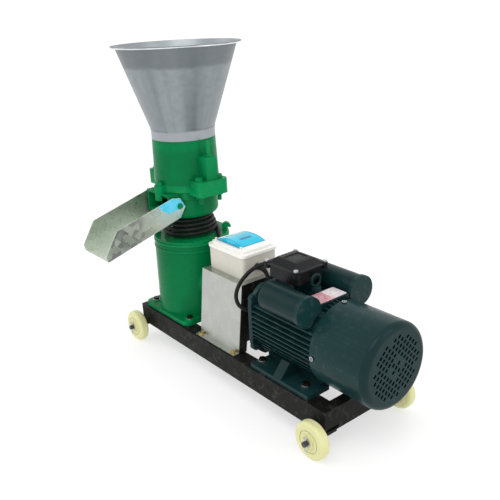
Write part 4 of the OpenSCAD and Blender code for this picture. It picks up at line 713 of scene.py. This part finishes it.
def blister(name, outline, lift, slot, body, look):
    """A thin closed sheet over an outline of (machine point, outward direction) pairs, in millimetres."""
    count = len(outline)
    low = [at(*(Vector(p) + Vector(n) * 0.05)) for p, n in outline]
    high = [at(*(Vector(p) + Vector(n) * lift)) for p, n in outline]
    faces = [tuple(range(count))[::-1], tuple(range(count, 2 * count))]
    faces += [(k, (k + 1) % count, count + (k + 1) % count, count + k) for k in range(count)]
    return dress(soften(add_mesh(name, low + high, faces, False), 0.1, 2), slot, body, look)


# Protective film left round the chute's pivot, on the motor side
CHUTE_L, CHUTE_H, CHUTE_SIDE_X = 267.0, 69.0, 72.0
PIVOT = Vector((MILL_X, -79.0, 484.0))
SLOPE = math.radians(16.5)


def chute_point(along, up):
    """A machine point on the motor-side plate's outer face, from shares of the chute's length and depth."""
    u, v = along * CHUTE_L, up * CHUTE_H
    y = -u * math.cos(SLOPE) - v * math.sin(SLOPE)
    z = -u * math.sin(SLOPE) + v * math.cos(SLOPE)
    return PIVOT + Vector((CHUTE_SIDE_X, y, z))


film_shares = [
    (-0.06, -0.14), (-0.033, 0.3), (0.056, 0.47), (0.235, 0.49), (0.243, 0.42), (0.222, 0.33), (0.214, 0.2),
    (0.186, 0.1), (0.165, -0.02), (0.12, -0.05), (0.02, -0.11),
]
film_outline = [(chute_point(along, up), (1, 0, 0)) for along, up in film_shares]
blister("chute_film", film_outline, 0.3, "cyan_window", "chute", "cyan_film")

# Breaker window, a barrel arch whose ridge runs along Y, with a sloping near end and a hinge barrel
WINDOW_AT = Vector((-47.0, 6.0, 400.3))
WINDOW_L, WINDOW_W, WINDOW_RISE = 105.0, 90.0, 10.0
WINDOW_FOOT, WINDOW_T, WINDOW_SLOPE, WINDOW_BACK = 1.6, 1.5, 8.0, 0.8
WINDOW_R = (WINDOW_L ** 2 / 4 + WINDOW_RISE ** 2) / (2 * WINDOW_RISE)


def window_top(x):
    """Height of the arch over the window's base at a distance x from its ridge."""
    arch = math.sqrt(WINDOW_R ** 2 - x ** 2) - (WINDOW_R - WINDOW_RISE)
    return WINDOW_FOOT + arch * (WINDOW_RISE - WINDOW_FOOT) / WINDOW_RISE


def window_moulding():
    """The arched shell, from a grid of points with a skirt that goes down all round."""
    columns = [WINDOW_L * (i / 28 - 0.5) for i in range(29)]
    rows = [(-WINDOW_W / 2, 0.0), (-WINDOW_W / 2 + WINDOW_SLOPE, 1.0)]
    rows += [(WINDOW_W * (i / 8 - 0.5), 1.0) for i in range(2, 8)]
    rows += [(WINDOW_W / 2 - WINDOW_BACK, 1.0), (WINDOW_W / 2, 0.0)]
    columns = [columns[0]] + columns + [columns[-1]]
    rows = [rows[0]] + rows + [rows[-1]]
    verts, faces = [], []
    for j, (y, share) in enumerate(rows):
        for i, x in enumerate(columns):
            skirt = i in (0, len(columns) - 1) or j in (0, len(rows) - 1)
            height = 0.0 if skirt else WINDOW_FOOT + share * (window_top(x) - WINDOW_FOOT)
            verts.append(at(*(WINDOW_AT + Vector((x, y, height)))))
    wide = len(columns)
    for j in range(len(rows) - 1):
        for i in range(wide - 1):
            faces.append((j * wide + i, j * wide + i + 1, (j + 1) * wide + i + 1, (j + 1) * wide + i))
    piece = sharp_edges(add_mesh("window_moulding", verts, faces), 25)
    shell = piece.modifiers.new("shell", "SOLIDIFY")
    shell.thickness = WINDOW_T * MM
    shell.offset = -1.0
    return dress(piece, "cyan_window", "window")


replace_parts(window_moulding(), "switch_window")
HINGE_R, HINGE_END_R, HINGE_PIN_R, HINGE_CHAMFER, HINGE_PIN_OUT = 2.2, 2.0, 1.2, 0.4, 8.0
HINGE_AT = WINDOW_AT + Vector((0.0, -WINDOW_W / 2, HINGE_R))
hinge_half, pin_half = WINDOW_L / 2, WINDOW_L / 2 + HINGE_PIN_OUT
barrel = spin(
    "window_hinge_barrel",
    [(0, -pin_half), (HINGE_PIN_R, -pin_half), (HINGE_PIN_R, -hinge_half), (HINGE_END_R, -hinge_half),
     (HINGE_R, -hinge_half + HINGE_CHAMFER), (HINGE_R, hinge_half - HINGE_CHAMFER), (HINGE_END_R, hinge_half),
     (HINGE_PIN_R, hinge_half), (HINGE_PIN_R, pin_half), (0, pin_half)],
    HINGE_AT, "X", 24,
)
dress(sharp_edges(barrel), "cyan_window", "window", "window_edge")

# Thin beads along the window's two arches and its two straight feet
BEAD_R, ARC_SINK, FOOT_IN, FOOT_UP, FOOT_REACH = 0.8, 0.3, 0.6, 0.9, 0.98
arc = [WINDOW_L * (i / 24 - 0.5) for i in range(25)]
for n, y in enumerate((-WINDOW_W / 2 + WINDOW_SLOPE, WINDOW_W / 2 - WINDOW_BACK)):
    line = [at(*(WINDOW_AT + Vector((x, y, window_top(x) - ARC_SINK)))) for x in arc]
    dress(tube(f"window_edge_arc_{n + 1}", line, BEAD_R * MM, 10), "cyan_window", "window", "window_edge")
for n, side in enumerate((-1, 1)):
    x = side * (WINDOW_L / 2 - FOOT_IN)
    places = [Vector((x, y * WINDOW_W / 2, FOOT_UP)) for y in (-FOOT_REACH, 0.0, FOOT_REACH)]
    line = [at(*(WINDOW_AT + place)) for place in places]
    dress(tube(f"window_edge_foot_{n + 1}", line, BEAD_R * MM, 10), "cyan_window", "window", "window_edge")

INSERT_AT, INSERT_HALF, INSERT_LIFT = (16.0, 4.0), (5.0, 19.0), 0.6
insert_outline = []
for sx, sy in ((-1, -1), (-1, 0), (-1, 1), (1, 1), (1, 0), (1, -1)):
    x = INSERT_AT[0] + sx * INSERT_HALF[0]
    y = INSERT_AT[1] + sy * INSERT_HALF[1]
    insert_outline.append((WINDOW_AT + Vector((x, y, window_top(x))), (0, 0, 1)))
blister("window_insert", insert_outline, INSERT_LIFT, "blue_toggle", "window", "blue_insert")

# Motor, with a hipped terminal lid, the lid's ears and painted screw heads on the fan cover
CORNER_STEPS = 5


def rounded_loop(half_x, half_y, radius, z, centre):
    """The points of a level rectangle with round corners, in millimetres."""
    points = []
    for quarter, (sx, sy) in enumerate(((1, 1), (-1, 1), (-1, -1), (1, -1))):
        for i in range(CORNER_STEPS + 1):
            a = math.radians(90 * quarter + 90 * i / CORNER_STEPS)
            points.append((
                centre[0] + sx * (half_x - radius) + radius * math.cos(a),
                centre[1] + sy * (half_y - radius) + radius * math.sin(a),
                z,
            ))
    return points


def lofted(name, loops, slot):
    """A closed piece through level loops of equal length, in machine millimetres."""
    count = len(loops[0])
    verts = [at(*p) for loop in loops for p in loop]
    last = len(loops) - 1
    faces = []
    for i in range(last):
        for k in range(count):
            n = (k + 1) % count
            faces.append((i * count + k, i * count + n, (i + 1) * count + n, (i + 1) * count + k))
    faces.append(tuple(range(count))[::-1])
    faces.append(tuple(last * count + k for k in range(count)))
    return dress(sharp_edges(add_mesh(name, verts, faces), 32), slot)


# Each step of the lid: half length, half width, corner radius and height
TERMINAL_AT = (190.0, 0.0)
EAR_X, EAR_Y = 55.0, 50.0
lid_steps = [
    (63.0, 58.0, 21.0, 397.2), (63.0, 58.0, 21.0, 400.0), (62.2, 57.2, 20.4, 400.8), (53.4, 48.4, 8.0, 401.0),
    (51.9, 46.9, 6.0, 401.8), (38.0, 33.0, 3.6, 414.1), (36.8, 31.8, 3.0, 414.9), (20.7, 26.2, 2.6, 415.0),
    (20.1, 25.6, 2.3, 414.6), (19.9, 25.4, 2.2, 413.0),
]
lid = lofted(
    "terminal_lid_moulding",
    [rounded_loop(a, b, r, z, TERMINAL_AT) for a, b, r, z in lid_steps],
    "black_plastic",
)
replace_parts(lid, "terminal_lid")
for n, (sx, sy) in enumerate(((-1, -1), (-1, 1), (1, -1), (1, 1))):
    ear_at = (TERMINAL_AT[0] + sx * EAR_X, TERMINAL_AT[1] + sy * EAR_Y, 0.0)
    ear = spin(
        f"terminal_lid_ear_{n + 1}",
        [(0, 397.2), (8.0, 397.2), (8.0, 402.0), (7.3, 402.8), (5.6, 403.0), (5.4, 402.4), (0, 402.4)],
        ear_at, "Z", 32,
    )
    dress(ear, "black_plastic")


def screw(name, where, axis, head_r, head_h, slot):
    """A pan-head screw: a domed head with a round dimple, standing on a machine point along an axis."""
    profile = [(0, -0.3), (head_r, -0.3), (head_r, head_h * 0.35)]
    for i in range(1, 6):
        a = math.pi / 2 * i / 5
        profile.append((head_r * (0.32 + 0.68 * math.cos(a)), head_h * (0.35 + 0.65 * math.sin(a))))
    profile += [(head_r * 0.3, head_h * 0.98), (head_r * 0.26, head_h * 0.55), (0, head_h * 0.5)]
    return dress(sharp_edges(spin(name, profile, where, axis, 28)), slot)


COVER_SCREW_X, COVER_R = 361.0, 110.0
SCREW_HEAD_R, SCREW_HEAD_H = 6.4, 4.4
for n, (axis, y, z) in enumerate((("-Y", -1, 0), ("Z", 0, 1), ("Y", 1, 0))):
    where = (COVER_SCREW_X, y * COVER_R, AXIS_Z + z * COVER_R)
    screw(f"fan_cover_screw_{n + 1}", where, axis, SCREW_HEAD_R, SCREW_HEAD_H, "motor_paint")

# Shiny washers round the dark heads of the column's and the motor's bolts
WASHER_X = (MILL_X - 98.0, MILL_X + 98.0, 153.0, 321.0)
WASHER_Y, WASHER_Z = 95.0, 133.0
for n, (x, y) in enumerate((x, side * WASHER_Y) for x in WASHER_X for side in (-1, 1)):
    washer = spin(
        f"foot_washer_{n + 1}",
        [(9.7, -0.2), (11.3, -0.2), (11.5, 0.4), (11.4, 2.2), (11.0, 2.5), (9.7, 2.5)],
        (x, y, WASHER_Z), "Z", 40, closed=True,
    )
    dress(sharp_edges(washer), "zinc_steel")

# A grey strip under the switch box's lid that stands for the shadow line at its parting line: painted shade
PARTING_SHADE_AT, PARTING_SHADE_HALF, PARTING_SHADE_CORNER, PARTING_SHADE_Z = (-36.0, 0.0), (80.3, 60.3), 10.3, (382.6, 384.2)
parting_shade_strip = lofted(
    "switch_box_parting_shade",
    [rounded_loop(*PARTING_SHADE_HALF, PARTING_SHADE_CORNER, z, PARTING_SHADE_AT) for z in PARTING_SHADE_Z],
    "cream_plastic",
)
parting_shade_strip.data.materials[0] = LOOKS["painted_shade_grey"]


# Stage, with a pale seamless floor and soft studio light
def studio_floor():
    side, low = 30.0, 0.0
    corners = [(-side, -side, low), (side, -side, low), (side, side, low), (-side, side, low)]
    floor = add_mesh("studio_floor", corners, [(0, 1, 2, 3)], False)
    look = Look("studio_floor")
    look.colour(look.ramp(look.noise(0.6, 2.0), (0.3, rgb("#aeaeae")), (0.8, rgb("#b1b1b1"))))
    look.set(Roughness=0.85, Specular_IOR_Level=0.15, Emission_Color=(1.0, 1.0, 1.0), Emission_Strength=0.58)
    floor.data.materials.append(look.material)


studio_floor()

world = bpy.data.worlds.new("studio")
world.use_nodes = True
bpy.context.scene.world = world
sky = world.node_tree.nodes["Background"]
sky.inputs["Color"].default_value = (1.0, 1.0, 1.0, 1.0)
sky.inputs["Strength"].default_value = 1.02


def softbox(name, where, target, size, power):
    """A rectangular area light at where, aimed at target; metres and watts."""
    light = bpy.data.lights.new(name, "AREA")
    light.shape = "RECTANGLE"
    light.size, light.size_y = size
    light.energy = power
    light.color = (1.0, 1.0, 1.0)
    holder = bpy.data.objects.new(name, light)
    bpy.context.scene.collection.objects.link(holder)
    holder.location = where
    holder.rotation_mode = "QUATERNION"
    holder.rotation_quaternion = (Vector(target) - Vector(where)).to_track_quat("-Z", "Y")


softbox("key_overhead", (0.9, -1.3, 3.0), (0.0, 0.0, 0.4), (2.4, 1.6), 26.0)
softbox("left_side", (-2.6, -1.5, 1.6), (-0.1, 0.0, 0.45), (1.6, 2.2), 7.0)
softbox("right_rim", (2.8, 1.2, 1.9), (0.1, 0.0, 0.4), (1.4, 2.2), 10.0)
bpy.context.scene.view_settings.view_transform = "Standard"
bpy.context.scene.view_settings.look = "None"
